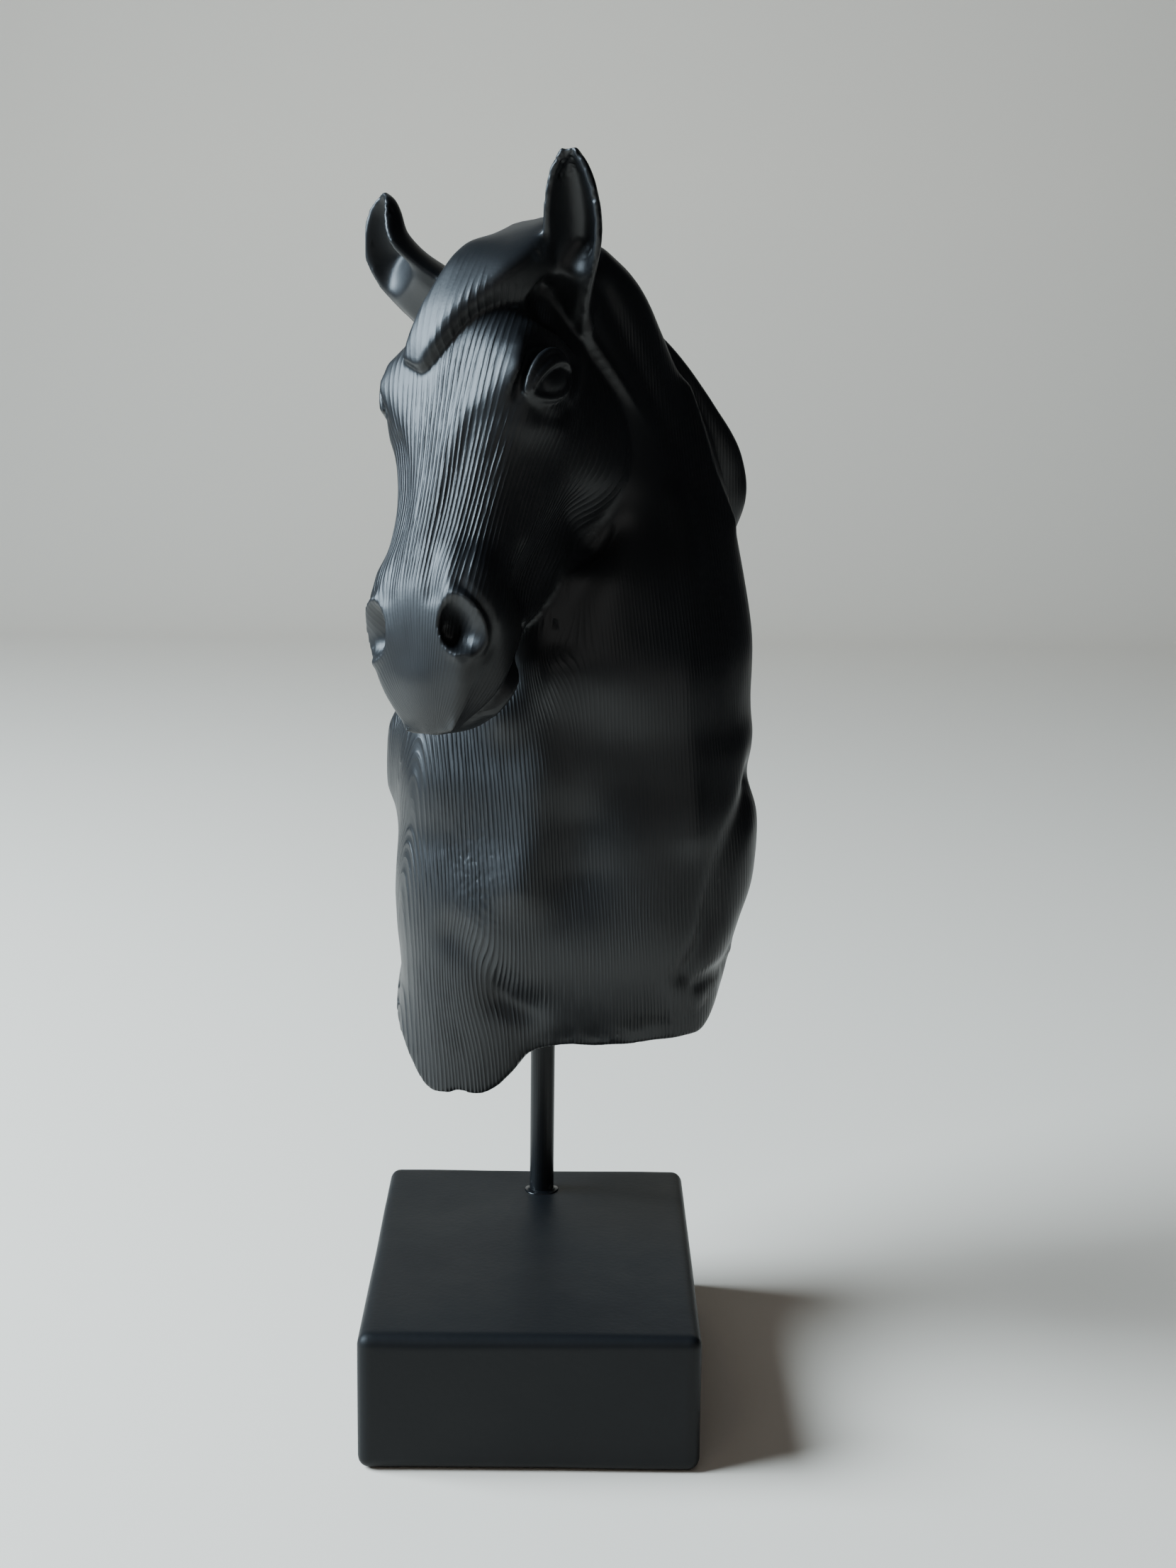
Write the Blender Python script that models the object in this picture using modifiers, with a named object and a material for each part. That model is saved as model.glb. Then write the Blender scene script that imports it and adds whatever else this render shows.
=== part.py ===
"""Horse head and chest, cast in one piece, held up by a round rod in a rectangular block."""

import bmesh
import bpy
import numpy as np

# Block and rod, in metres
PLINTH_WIDTH = 0.100
PLINTH_DEPTH = 0.138
PLINTH_HEIGHT = 0.042
PLINTH_EDGE = 0.003
PLINTH_SOCKET_DEPTH = 0.026
ROD_DIAMETER = 0.008
ROD_FROM_BACK = 0.020
ROD_ASIDE = 0.002
ROD_EDGE = 0.0004
ROD_INTO_HORSE = 0.056
FIT_CLEARANCE = 0.0003

# Horse: its height, and how far its lowest chip hangs above the block
HORSE_HEIGHT = 0.290
HORSE_LIFT = 0.045
PLAN_HEIGHT = 290.0
HORSE_TRIANGLES = 8400
VOXEL = 1.5
ROD_SIDES = 32
# The body is smoothed above this level of its plan, fading in over the fade
FOOT_LEVEL = 26
FOOT_FADE = 16
BODY_ROUNDS = 24
# How finely the shapes are drawn: rings along them, then points around
HEAD_RINGS = 46
MUZZLE_RINGS = 14
HEAD_STEPS = 10
EAR_RINGS = 30
EAR_SIDES = 15
FORELOCK_RINGS = 30
MANE_RINGS = 40
LOCK_SIDES = 28
EYE_RINGS = 16
EYE_SIDES = 20
LID_RINGS = 21

# The horse's plan is drawn in 290ths of its height. Its origin is on the rod's
# axis, level with the lowest chip: x to the right, y away from the viewer, z up.
UNIT = HORSE_HEIGHT / PLAN_HEIGHT
ROD_X = ROD_ASIDE
ROD_Y = PLINTH_DEPTH / 2 - ROD_FROM_BACK
HORSE_FOOT = PLINTH_HEIGHT + HORSE_LIFT

# Head: poll, length from poll to lips, turn to the right, nose forward, tilt
POLL = (-21.0, -12.0, 266.5)
HEAD_LENGTH = 153.0
HEAD_TURN = 38.0
HEAD_NOD = 28.0
HEAD_TILT = -9.0

# Body: place along it, breast line x y z, back line x y z, half width, squareness
BODY = (
    (0.00, 4, -39, 16, 4, 39, 18, 53, 3.4),
    (0.09, 7, -43, 36, 8, 42, 38, 54, 3.1),
    (0.20, 7, -45, 58, 9, 45, 62, 56.5, 2.7),
    (0.30, 8, -45.5, 78, 12, 46, 84, 57.2, 2.5),
    (0.40, 6, -43.5, 98, 12, 47, 104, 57.8, 2.4),
    (0.50, 2, -39.5, 119, 20, 48, 128, 57, 2.3),
    (0.60, -2, -37, 142, 39, 48, 154, 48, 2.2),
    (0.70, 2, -28, 163, 48, 46, 180, 32, 2.1),
    (0.79, 8, -14, 181, 48, 43, 203, 21, 2.0),
    (0.88, 4, -7, 202, 37, 32, 228, 17, 2.0),
    (0.95, -2, -7, 222, 25, 18, 255, 15, 2.0),
    (1.00, -8, -10, 238, 13, 7, 267, 12, 2.0),
)
# Lower edge, as it broke: x, then its height above the lowest chip
FOOT_LINE = ((-52, 22), (-48, 10), (-44, 1), (-38, -7), (-33, -9), (-27, -5), (-22, -5), (-16, -2),
             (-10, 5), (-4, 13), (4, 17), (20, 20), (36, 24), (46, 26), (52, 28), (57, 36), (62, 45), (70, 50))
BACK_FOOT_LINE = ((-52, 20), (-40, 17), (-30, 20), (-15, 15), (0, 18), (15, 14), (30, 19), (45, 22), (60, 28))
FOOT_TOP = 70
FOOT_DEPTH = 40
BODY_RINGS = 60
BODY_SIDES = 72

# Head, in head lengths: place down the face, then a height or half width
FACE_LINE = ((0, -.06), (.06, -.015), (.14, .015), (.25, .03), (.38, .022), (.55, .002),
             (.70, -.002), (.76, -.006), (.82, -.026), (.88, -.056), (.94, -.092), (.98, -.125), (1, -.155))
FACE_EDGE = ((0, .06), (.15, .082), (.24, .098), (.32, .116), (.40, .094), (.5, .060), (.65, .050),
             (.77, .100), (.86, .106), (.94, .084), (1, .045))
EDGE_DROP = ((0, .05), (.15, .035), (.24, .014), (.32, .010), (.5, .009), (.65, .010), (.77, .014),
             (.86, .010), (.94, .012), (1, .012))
SLOPE_WIDTH = ((0, .08), (.15, .112), (.24, .138), (.32, .160), (.40, .152), (.5, .130), (.65, .114),
               (.77, .142), (.86, .126), (.94, .092), (1, .055))
SLOPE_LINE = ((0, -.10), (.15, -.07), (.24, -.05), (.32, -.048), (.40, -.062), (.5, -.068), (.65, -.064),
              (.77, -.065), (.86, -.092), (.94, -.125), (1, -.155))
SIDE_WIDTH = ((0, .085), (.15, .128), (.25, .153), (.33, .168), (.45, .158), (.6, .138), (.7, .132),
              (.79, .150), (.87, .126), (.94, .092), (1, .058))
SIDE_LINE = ((0, -.16), (.33, -.19), (.5, -.17), (.7, -.13), (.87, -.12), (1, -.14))
JAW_WIDTH = ((0, .10), (.15, .13), (.35, .158), (.5, .13), (.65, .086), (.8, .096), (.9, .092), (1, .025))
JAW_LINE = ((0, -.24), (.2, -.39), (.38, -.465), (.5, -.44), (.6, -.365), (.72, -.28),
            (.8, -.245), (.9, -.25), (1, -.16))
UNDER_LINE = ((0, -.29), (.2, -.45), (.38, -.515), (.5, -.48), (.6, -.395), (.72, -.31),
              (.8, -.27), (.88, -.29), (.95, -.26), (1, -.17))
# Eye, in head lengths: its middle, the way its corners lie, the half length of its opening
EYE = (.3235, -.074, .171)
EYE_AXIS = (-.68, -.73)
EYE_LONG = .072
# Half length, half height and bulge of the mound the lids lie on, then of the ball
EYE_MOUNDS = ((.092, .066, .021), (.050, .034, .030))
# Lids and the fold above them: height over the middle, how far out, thickness
LIDS = ((.036, .023, .0100), (-.030, .019, .0085), (.058, .016, .0080))

# Carving on both sides of the head, in head lengths: a path of (down the face, out of it,
# outward), then its half width and how far it stands out
HEAD_CARVING = (
    ("eye socket", ((.36, -.055, .19), (.29, -.110, .19)), .034, -.014),
    ("orbit rim", ((.27, .0, .17), (.221, -.014, .165), (.190, -.061, .16), (.182, -.115, .155),
                   (.20, -.165, .15)), .015, .008),
    ("brow", ((.20, -.04, .14), (.18, -.12, .15)), .022, .005),
    ("under the eye", ((.385, -.075, .19), (.36, -.13, .185), (.30, -.175, .18)), .014, -.007),
    ("tear corner", ((.392, -.016, .18),), .012, -.008),
    ("temple hollow", ((.10, -.09, .12), (.14, -.10, .13)), .036, -.022),
    ("arch behind the eye", ((.30, -.17, .17), (.22, -.19, .165), (.13, -.20, .15), (.05, -.20, .13)), .018, .010),
    ("nasal corner", ((.42, -.05, .155), (.52, -.055, .14), (.62, -.055, .125), (.70, -.05, .115)), .030, .008),
    ("facial crest", ((.38, -.15, .165), (.5, -.16, .155), (.6, -.155, .14)), .026, .005),
    ("cheek", ((.25, -.31, .16), (.36, -.32, .15)), .11, .022),
    ("cheek rim", ((.07, -.15, .13), (.12, -.20, .15), (.18, -.29, .16), (.25, -.40, .155), (.33, -.47, .145),
                   (.42, -.49, .135), (.51, -.45, .12), (.57, -.40, .11)), .011, .008),
    ("behind the cheek", ((.04, -.22, .12), (.12, -.32, .13), (.24, -.47, .13), (.34, -.53, .13)), .03, -.022),
    ("cheek hollow", ((.50, -.27, .14), (.60, -.23, .12), (.68, -.20, .11)), .05, -.022),
    ("jaw bar", ((.55, -.37, .11), (.65, -.31, .10), (.70, -.29, .095)), .018, .010),
    ("mouth", ((.745, -.254, .10), (.766, -.244, .10), (.812, -.237, .10), (.879, -.217, .095),
               (.92, -.21, .08), (.955, -.20, .05), (.97, -.19, .0)), .009, -.022),
    ("lower lip", ((.79, -.266, .10), (.83, -.258, .098), (.885, -.240, .09),
                   (.93, -.232, .07)), .011, .010),
)
# Forms on both sides of the head that swell one way: their path and half width, and how far
# they move down the face, out of it and outward
HEAD_SWELLING = (
    ("front of the orbit", ((.365, -.035, .150), (.32, -.03, .158), (.265, -.045, .155)), .044, (0, .034, .018)),
    ("orbit", ((.36, -.09, .16), (.31, -.09, .165), (.25, -.10, .16)), .062, (0, .004, .022)),
    ("socket groove", ((.372, -.014, .19), (.335, -.012, .19), (.292, -.018, .19), (.264, -.030, .19),
                       (.237, -.060, .19), (.215, -.095, .19), (.212, -.124, .185), (.231, -.146, .18)), .0135,
     (0, -.006, -.036)),
    ("socket depth", ((.262, -.034, .19), (.238, -.062, .19), (.222, -.105, .185)), .016, (0, 0, -.016)),
)
# Carving along the middle of the head or on one side alone
MIDDLE_CARVING = (
    ("upper lip", ((.93, -.10, 0),), .055, .006),
    ("left orbit", ((.340, .0, .168), (.305, -.005, .174), (.275, -.02, .172)), .026, .020),
    ("chin", ((.89, -.29, 0),), .05, .022),
    ("under the chin", ((.80, -.31, 0), (.72, -.33, 0)), .04, -.02),
    ("forehead", ((.2, .02, 0), (.3, .03, 0)), .06, .006),
    ("left nasal groove", ((.42, .0, .085), (.50, -.005, .058), (.57, -.007, .044), (.64, -.006, .036),
                           (.71, -.006, .040), (.775, -.006, .050)), .016, -.0055),
    ("left nasal vein", ((.42, -.02, .125), (.484, -.01, .098), (.543, -.01, .084), (.604, -.01, .076),
                         (.666, -.015, .076), (.728, -.02, .082), (.78, -.02, .090)), .011, .0035),
    ("right nasal groove", ((.44, -.003, -.10), (.50, -.005, -.08), (.57, -.007, -.065), (.63, -.006, -.055),
                            (.70, -.006, -.052), (.77, -.006, -.06)), .015, -.004),
)
# Nostril, in head lengths: its middle, the ways it lies lengthwise and across, its half length
# and half width, then the way it goes in and how deep
NOSTRIL = (.822, -.056, .098)
NOSTRIL_LENGTHWISE = (.80, -.59, .08)
NOSTRIL_ACROSS = (-.26, -.66, .70)
NOSTRIL_HALF = (.058, .040)
NOSTRIL_INWARD = (-.10, -.58, -.80)
NOSTRIL_DEPTH = .062

# Ears, the horse's left one first: base, bend and tip in plan units, the way the cup opens,
# its widest half width, how much of that is left at the tip and how much is added at the root.
# Then how wide and how hollow it is along its length, and its wall.
EARS = (
    ((4, -3, 236), (7.5, -22, 265), (5.5, -28, 292), (-.35, -.93, .05), 9.0, .36, 0),
    ((-24, -6, 239), (-49, -8, 260), (-51.5, -5, 280), (-.85, -.50, .10), 8.8, .10, .75),
)
EAR_HALF = ((0, .80), (.3, .84), (.58, 1), (.78, .84), (.92, .52), (1, 0))
EAR_OPEN = ((0, 0), (.32, .05), (.48, 1), (.9, .9), (1, .6))
EAR_WALL = 3.0

# Forelock: place along, then down the face, out of it, to the left, half width, half thickness
FORELOCK = (
    (0, -.05, -.13, .055, .07, .05),
    (.2, .025, -.065, .055, .088, .05),
    (.45, .095, -.015, .034, .086, .045),
    (.7, .180, .009, -.010, .06, .042),
    (.9, .258, .013, -.050, .044, .040),
    (1, .296, .009, -.070, .034, .036),
)

# Mane: place along, then x, y, z, half height, half thickness
MANE = (
    (0, -10, -2, 252, 8, 5),
    (.2, 8, 17, 242, 12, 6),
    (.4, 26, 31, 226, 15, 7),
    (.6, 41, 41, 205, 16.5, 8),
    (.8, 51.5, 47, 189, 15, 8.5),
    (.93, 56, 49, 178, 10, 7),
    (1, 58, 50, 171, 3, 3),
)

# Carving on the body, in plan units
BODY_CARVING = (
    ("left shoulder", ((62, -6, 84), (62, -10, 64), (58, -10, 44)), 14, 2),
    ("left shoulder top", ((69, 8, 99), (66, -8, 98)), 8, -2),
    ("shoulder groove", ((63, -13, 99), (60, -22, 90), (56, -29, 80), (52.5, -33, 66), (51, -35, 56),
                         (48, -37, 48), (44, -38, 42)), 4.5, -2.6),
    ("shoulder lobe", ((62, -20, 82), (61, -22, 66), (58, -26, 54)), 8, 1.2),
    ("lower end of the lobe", ((61, -16, 39), (57, -27, 38), (50, -34, 37)), 4, -2.6),
    ("chest ridge", ((1, -42, 136), (0, -43, 115), (0, -43, 98), (-2, -45, 84), (-6, -46, 70)), 8, 3),
    ("right chest face", ((-20, -33, 122), (-20, -34, 98), (-26, -36, 80)), 14, -2.2),
    ("plane break", ((42, -8, 186), (45, -15, 172), (47, -26, 158), (47, -36, 140), (47, -39, 120),
                     (47, -40, 104), (46, -38, 86)), 6, 1.6),
    ("front of the neck", ((20, -38, 147), (21, -41, 125), (21, -40, 106)), 17, -1.8),
    ("jugular fossa", ((9, -42, 88), (10, -42, 76)), 12, -3.5),
    ("breast", ((-12, -46, 54), (18, -48, 47), (36, -44, 52)), 18, 2.6),
    ("leg groove", ((-28, -40, 53), (-22, -42, 48), (-16, -42, 41), (-10, -40, 33)), 6, -1.6),
    ("hollow between breast and leg", ((-12, -42, 34), (-5, -42, 30)), 6, -2.4),
    ("windpipe", ((8, -30, 160), (6, -36, 146)), 9, -2),
    ("right chest edge", ((-54, 3, 111), (-54, 3, 94)), 8, 4.6),
    ("right chest notch", ((-53, 2, 85),), 4.5, -1.4),
    ("throat", ((12, -22, 176), (26, 2, 176)), 10, -5),
    ("before the mane", ((43, 22, 219), (47, 17, 205), (51, 13, 192), (57, 13, 178)), 4.5, 2),
    ("withers", ((8, 50, 70), (16, 52, 110), (34, 52, 145), (50, 50, 172)), 12, 4),
    ("left blade", ((30, 50, 60), (32, 50, 100)), 16, -3),
    ("right blade", ((-26, 44, 60), (-20, 46, 104), (0, 48, 140)), 18, -4),
    ("right shoulder slope", ((-38, 0, 146), (-30, 30, 152)), 22, -8),
)


def through(knots, at, steady=False):
    """Smooth curve through knots of (place, value, ...): between two knots a cubic, whose slope
    at a knot comes from its neighbours. A steady curve never swings past its knots."""
    knots = np.array(knots, float)
    place, value = knots[:, 0], knots[:, 1:]
    slope = np.gradient(value, place, axis=0)
    if steady:
        grade = np.diff(value, axis=0) / np.diff(place)[:, None]
        before, after = grade[:-1], grade[1:]
        same = before * after > 0
        slope[1:-1] = np.where(same, 2 * before * after / np.where(same, before + after, 1), 0)
    at = np.atleast_1d(np.asarray(at, float))
    i = np.clip(np.searchsorted(place, at, side="right") - 1, 0, len(place) - 2)
    span = (place[i + 1] - place[i])[:, None]
    p = np.clip((at - place[i])[:, None] / span, 0, 1)
    rise = value[i + 1] - value[i]
    start, end = slope[i] * span, slope[i + 1] * span
    return value[i] + start * p + (3 * rise - 2 * start - end) * p**2 + (start + end - 2 * rise) * p**3


def ease(x):
    """Smooth step from 0 to 1 as x goes from 0 to 1."""
    x = np.clip(x, 0, 1)
    return x * x * (3 - 2 * x)


def unit(v):
    """Vectors cut to length 1."""
    v = np.asarray(v, float)
    return v / np.maximum(np.linalg.norm(v, axis=-1, keepdims=True), 1e-9)


def skin(rings):
    """Vertices and faces of a closed tube over rings, with a fan over each end."""
    rows, around = rings.shape[:2]
    verts = np.vstack([rings.reshape(-1, 3), rings[0].mean(0), rings[-1].mean(0)])
    step = np.arange(around)
    after = (step + 1) % around
    faces = []
    for row in range(rows - 1):
        low, high = row * around, (row + 1) * around
        faces += np.stack([low + step, low + after, high + after, high + step], 1).tolist()
    foot, head = rows * around, rows * around + 1
    faces += np.stack([np.full(around, foot), after, step], 1).tolist()
    top = (rows - 1) * around
    faces += np.stack([np.full(around, head), top + step, top + after], 1).tolist()
    return verts, faces


def head_axes():
    """Unit axes of the head: down the face, out of the face, to the horse's left."""
    turn, nod, tilt = np.radians([HEAD_TURN, HEAD_NOD, HEAD_TILT])
    ahead = np.array([-np.sin(turn), -np.cos(turn), 0])
    left = np.array([np.cos(turn), -np.sin(turn), 0])
    up = np.array([0, 0, 1.0])
    along = ahead * np.sin(nod) - up * np.cos(nod)
    out = ahead * np.cos(nod) + up * np.sin(nod)
    return np.array([
        along * np.cos(tilt) - left * np.sin(tilt),
        out,
        left * np.cos(tilt) + along * np.sin(tilt),
    ])


def on_head(place):
    """Plan points of (down the face, out of it, to its left), in head lengths."""
    return np.array(POLL) + HEAD_LENGTH * np.asarray(place, float) @ head_axes()


def body():
    """Chest and neck: rings between the breast line and the back line."""
    row = through(BODY, np.linspace(0, 1, BODY_RINGS))
    front, back, half, square = row[:, 0:3], row[:, 3:6], row[:, 6:7], row[:, 7:8]
    middle, depth = (front + back) / 2, (front - back) / 2
    side = unit(np.cross(np.gradient(middle, axis=0), depth))
    angle = np.linspace(0, 2 * np.pi, BODY_SIDES, endpoint=False)
    c, s = np.cos(angle), np.sin(angle)
    c = np.sign(c) * np.abs(c) ** (2 / square)
    s = np.sign(s) * np.abs(s) ** (2 / square)
    rings = middle[:, None] + depth[:, None] * c[..., None] + side[:, None] * (half * s)[..., None]
    flat_foot = BODY[0][3]
    fade = ease((FOOT_TOP - rings[..., 2]) / (FOOT_TOP - flat_foot))
    behind = ease(rings[..., 1] / FOOT_DEPTH + .5)
    across = rings[..., 0].ravel()
    line, back_line = (through(edge, across).reshape(behind.shape) for edge in (FOOT_LINE, BACK_FOOT_LINE))
    rings[..., 2] += fade * (line + (back_line - line) * behind - flat_foot)
    return rings


def loop_through(points, steps):
    """Smooth closed loops through rings of points, a cubic piece between each two."""
    before, after = np.roll(points, 1, 1), np.roll(points, -1, 1)
    slope = (after - before) / 2
    p = np.linspace(0, 1, steps, endpoint=False)[None, None, :, None]
    start, end = points[:, :, None], after[:, :, None]
    leave, arrive = slope[:, :, None], np.roll(slope, -1, 1)[:, :, None]
    rise = end - start
    out = start + leave * p + (3 * rise - 2 * leave - arrive) * p**2 + (leave + arrive - 2 * rise) * p**3
    return out.reshape(len(points), -1, points.shape[-1])


def head():
    """Skull and muzzle: loops through the face, its edge, the side, the jaw and below."""
    nose = .9 + .1 * np.sin(np.linspace(0, np.pi / 2, MUZZLE_RINGS))
    place = np.concatenate([np.linspace(0, .9, HEAD_RINGS), nose[1:]])
    face, edge, drop, slope, slope_line, wide, line, jaw, jaw_line, under = (
        through(k, place)[:, 0] for k in
        (FACE_LINE, FACE_EDGE, EDGE_DROP, SLOPE_WIDTH, SLOPE_LINE, SIDE_WIDTH, SIDE_LINE,
         JAW_WIDTH, JAW_LINE, UNDER_LINE))
    zero = np.zeros_like(place)
    half = [(face, zero), (face - drop, edge), (slope_line, slope), (line, wide), (jaw_line, jaw), (under, zero)]
    points = half + [(h, -w) for h, w in half[4:0:-1]]
    loop = np.stack([np.stack([place, h, w], 1) for h, w in points], 1)
    return on_head(loop_through(loop, HEAD_STEPS))


def ear(base, bend, tip, opening, half, blunt, flare):
    """A leaf-shaped cup: half rings round the back, and a front that sinks from flush to hollow."""
    place = np.linspace(0, 1, EAR_RINGS)
    middle = through(((0, *base), (.5, *bend), (1, *tip)), place)
    axis = unit(np.gradient(middle, axis=0))
    across = unit(np.cross(axis, opening))
    front = np.cross(across, axis)
    radius = half * np.hypot(through(EAR_HALF, place, steady=True), blunt)
    radius *= 1 + flare * ease(1 - place[:, None] / .7)
    hollow = through(EAR_OPEN, place, steady=True)
    turn = np.linspace(0, np.pi, EAR_SIDES)
    c, s = np.cos(turn), np.sin(turn)
    lip = .35 * radius * c**2
    outer = np.stack([radius * c, lip - radius * .95 * s], -1)
    inside = (radius - EAR_WALL).clip(.3)
    filled, sunk = radius * .5 * s, -inside * .95 * s
    inner = np.stack([inside * c, .9 * lip + filled * (1 - hollow) + sunk * hollow], -1)
    loop = np.concatenate([outer, inner[:, ::-1]], 1)
    return middle[:, None] + loop[..., :1] * across[:, None] + loop[..., 1:] * front[:, None]


def lock(middle, wide, thick, out, round_off):
    """A flattened lock of hair: boxy or oval rings along a line, their flat side turned out."""
    along = unit(np.gradient(middle, axis=0))
    across = unit(np.cross(along, out))
    rise = np.cross(across, along)
    turn = np.linspace(0, 2 * np.pi, LOCK_SIDES, endpoint=False)
    c = np.sign(np.cos(turn)) * np.abs(np.cos(turn)) ** round_off
    s = np.sign(np.sin(turn)) * np.abs(np.sin(turn)) ** round_off
    return (middle[:, None] + across[:, None] * (wide * c)[..., None]
            + rise[:, None] * (thick * s)[..., None])


def forelock():
    """Forelock, swept over the forehead to the horse's right."""
    row = through(FORELOCK, np.linspace(0, 1, FORELOCK_RINGS))
    return lock(on_head(row[:, :3]), row[:, 3:4] * HEAD_LENGTH, row[:, 4:5] * HEAD_LENGTH, head_axes()[1], .5)


def mane():
    """Mane, lying over the far side of the crest."""
    row = through(MANE, np.linspace(0, 1, MANE_RINGS))
    return lock(row[:, :3], row[:, 3:4], row[:, 4:5], np.array([-.2, .9, .35]), .75)


def spread(points, path):
    """Distance of each point from a smooth path through a few places."""
    path = np.array(path, float)
    if len(path) > 1:
        place = np.linspace(0, 1, len(path))
        path = through(np.column_stack([place, path]), np.linspace(0, 1, 6 * len(path)))
    nearest = np.full(len(points), np.inf)
    for start, end in zip(path, np.roll(path, -1, 0)[:-1] if len(path) > 1 else path):
        edge = end - start
        along = np.clip((points - start) @ edge / max(edge @ edge, 1e-9), 0, 1)
        nearest = np.minimum(nearest, np.linalg.norm(points - start - along[:, None] * edge, axis=1))
    return nearest


def bell(points, path, width):
    """1 on the path, falling off like a bell over its width, and 0 beyond three widths."""
    low, high = np.min(path, 0) - 3.5 * width, np.max(path, 0) + 3.5 * width
    near = np.all((points > low) & (points < high), axis=1)
    value = np.zeros(len(points))
    value[near] = np.exp(-(spread(points[near], path) / width) ** 2)
    return value


def in_head(points):
    """Plan points as (down the face, out of it, to its left), in head lengths."""
    return (points - POLL) @ head_axes().T / HEAD_LENGTH


def eye_parts(side):
    """An eye's mound and ball, two flattened balls, and its lids and the fold above, bent rods."""
    long, high, out = unit((*EYE_AXIS, 0)), unit((EYE_AXIS[1], -EYE_AXIS[0], 0)), np.array([0, 0, 1.0])
    turn = np.linspace(0, 2 * np.pi, EYE_SIDES, endpoint=False)
    rise = np.linspace(-np.pi / 2, np.pi / 2, EYE_RINGS)[1:-1, None]
    parts = [EYE + (half_long * np.cos(rise) * np.cos(turn))[..., None] * long
             + (half_high * np.cos(rise) * np.sin(turn))[..., None] * high
             + (bulge * np.sin(rise) * np.ones_like(turn))[..., None] * out
             for half_long, half_high, bulge in EYE_MOUNDS]
    place = np.linspace(-1, 1, LID_RINGS)
    for height, lift, thick in LIDS:
        stretch = 1 if abs(height) < .05 else 1.12
        middle = (EYE + (EYE_LONG * stretch * place)[:, None] * long
                  + (height * (1 - place**2) ** .7)[:, None] * high
                  + (lift - .014 * place**2)[:, None] * out)
        along = unit(np.gradient(middle, axis=0))
        across = unit(np.cross(along, out))
        up = np.cross(across, along)
        radius = (thick * (1 - .45 * place**4))[:, None, None]
        parts.append(middle[:, None] + radius * (np.cos(turn)[:, None] * across[:, None]
                                                 + np.sin(turn)[:, None] * up[:, None]))
    return [on_head(part * (1, 1, side)) for part in parts]


def nostril(local):
    """How far, in head lengths, each point moves at a nostril: an egg-shaped hollow that goes in
    towards the middle of the head, with a thin lip round it and a dip behind the lip."""
    lengthwise = unit(NOSTRIL_LENGTHWISE)
    across = np.array(NOSTRIL_ACROSS) - np.dot(NOSTRIL_ACROSS, lengthwise) * lengthwise
    across = unit(across)
    outward = np.cross(across, lengthwise)
    near = local - NOSTRIL
    along = near @ lengthwise / NOSTRIL_HALF[0]
    aside = near @ across / NOSTRIL_HALF[1] / (1 + .22 * np.clip(along, -1, 1))
    apart = np.hypot(along, aside)
    at_skin = ease((.075 - np.abs(near @ outward)) / .03)
    wall = .36 + .5 * (1 + np.clip(aside, -1, 1))
    hollow = ease((1 - apart) / wall) * NOSTRIL_DEPTH * at_skin
    lip = np.exp(-((apart - 1.06) / .13) ** 2) * (.005 + .004 * np.clip(aside, -1, 1)) * at_skin
    dip = np.exp(-((apart - 1.42) / .16) ** 2) * ease(aside - .1) * .007 * at_skin
    return hollow[:, None] * unit(NOSTRIL_INWARD), lip - dip


# Depth counts for less than place when a carving's distance is measured
SIDEWAYS = np.array([1, 1, .4])
OUTWARD = np.array([1, .4, 1])
# Carving of one side fades out over this width about the head's middle, in head lengths
MIDDLE_BLEND = .06


def carve(points, normals):
    """Moves the points of the cast skin along its normals for every line of carving, and the
    way a swelling or a nostril asks for."""
    local = in_head(points)
    move = np.zeros(len(points))
    shift = np.zeros((len(points), 3))
    for side in (1, -1):
        mirrored = local * (1, 1, side)
        own_side = ease(mirrored[:, 2] / MIDDLE_BLEND + .5) * HEAD_LENGTH
        for _, path, width, height in HEAD_CARVING:
            move += bell(mirrored * SIDEWAYS, np.array(path) * SIDEWAYS, width) * height * own_side
        for _, path, width, way in HEAD_SWELLING:
            swell = bell(mirrored * SIDEWAYS, np.array(path) * SIDEWAYS, width) * own_side
            shift += swell[:, None] * (np.array(way) * (1, 1, side) @ head_axes())
        hollow, lip = nostril(mirrored)
        move += lip * HEAD_LENGTH
        shift += hollow * (1, 1, side) @ head_axes() * HEAD_LENGTH
    for _, path, width, height in MIDDLE_CARVING:
        move += bell(local * OUTWARD, np.array(path) * OUTWARD, width) * height * HEAD_LENGTH
    for _, path, width, height in BODY_CARVING:
        move += bell(points, path, width) * height
    return points + normals * move[:, None] + shift


def material(name, colour, roughness):
    """Plain finish: a colour, how rough, no metal."""
    made = bpy.data.materials.new(name)
    made.use_nodes = True
    shader = made.node_tree.nodes["Principled BSDF"]
    shader.inputs["Base Color"].default_value = (*colour, 1)
    shader.inputs["Roughness"].default_value = roughness
    shader.inputs["Metallic"].default_value = 0
    return made


def clear():
    """Removes what the file opens with."""
    for item in list(bpy.data.objects):
        bpy.data.objects.remove(item, do_unlink=True)


def cast(name, verts, faces, voxel):
    """One closed skin of even squares round shapes that overlap."""
    data = bpy.data.meshes.new(name)
    data.from_pydata(verts, [], faces)
    shape = bpy.data.objects.new(name, data)
    bpy.context.scene.collection.objects.link(shape)
    skin_round = shape.modifiers.new("skin", "REMESH")
    skin_round.mode = "VOXEL"
    skin_round.voxel_size = voxel
    bpy.context.view_layer.update()
    made = bpy.data.meshes.new_from_object(shape.evaluated_get(bpy.context.evaluated_depsgraph_get()))
    bpy.data.objects.remove(shape)
    bpy.data.meshes.remove(data)
    return made


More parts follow.
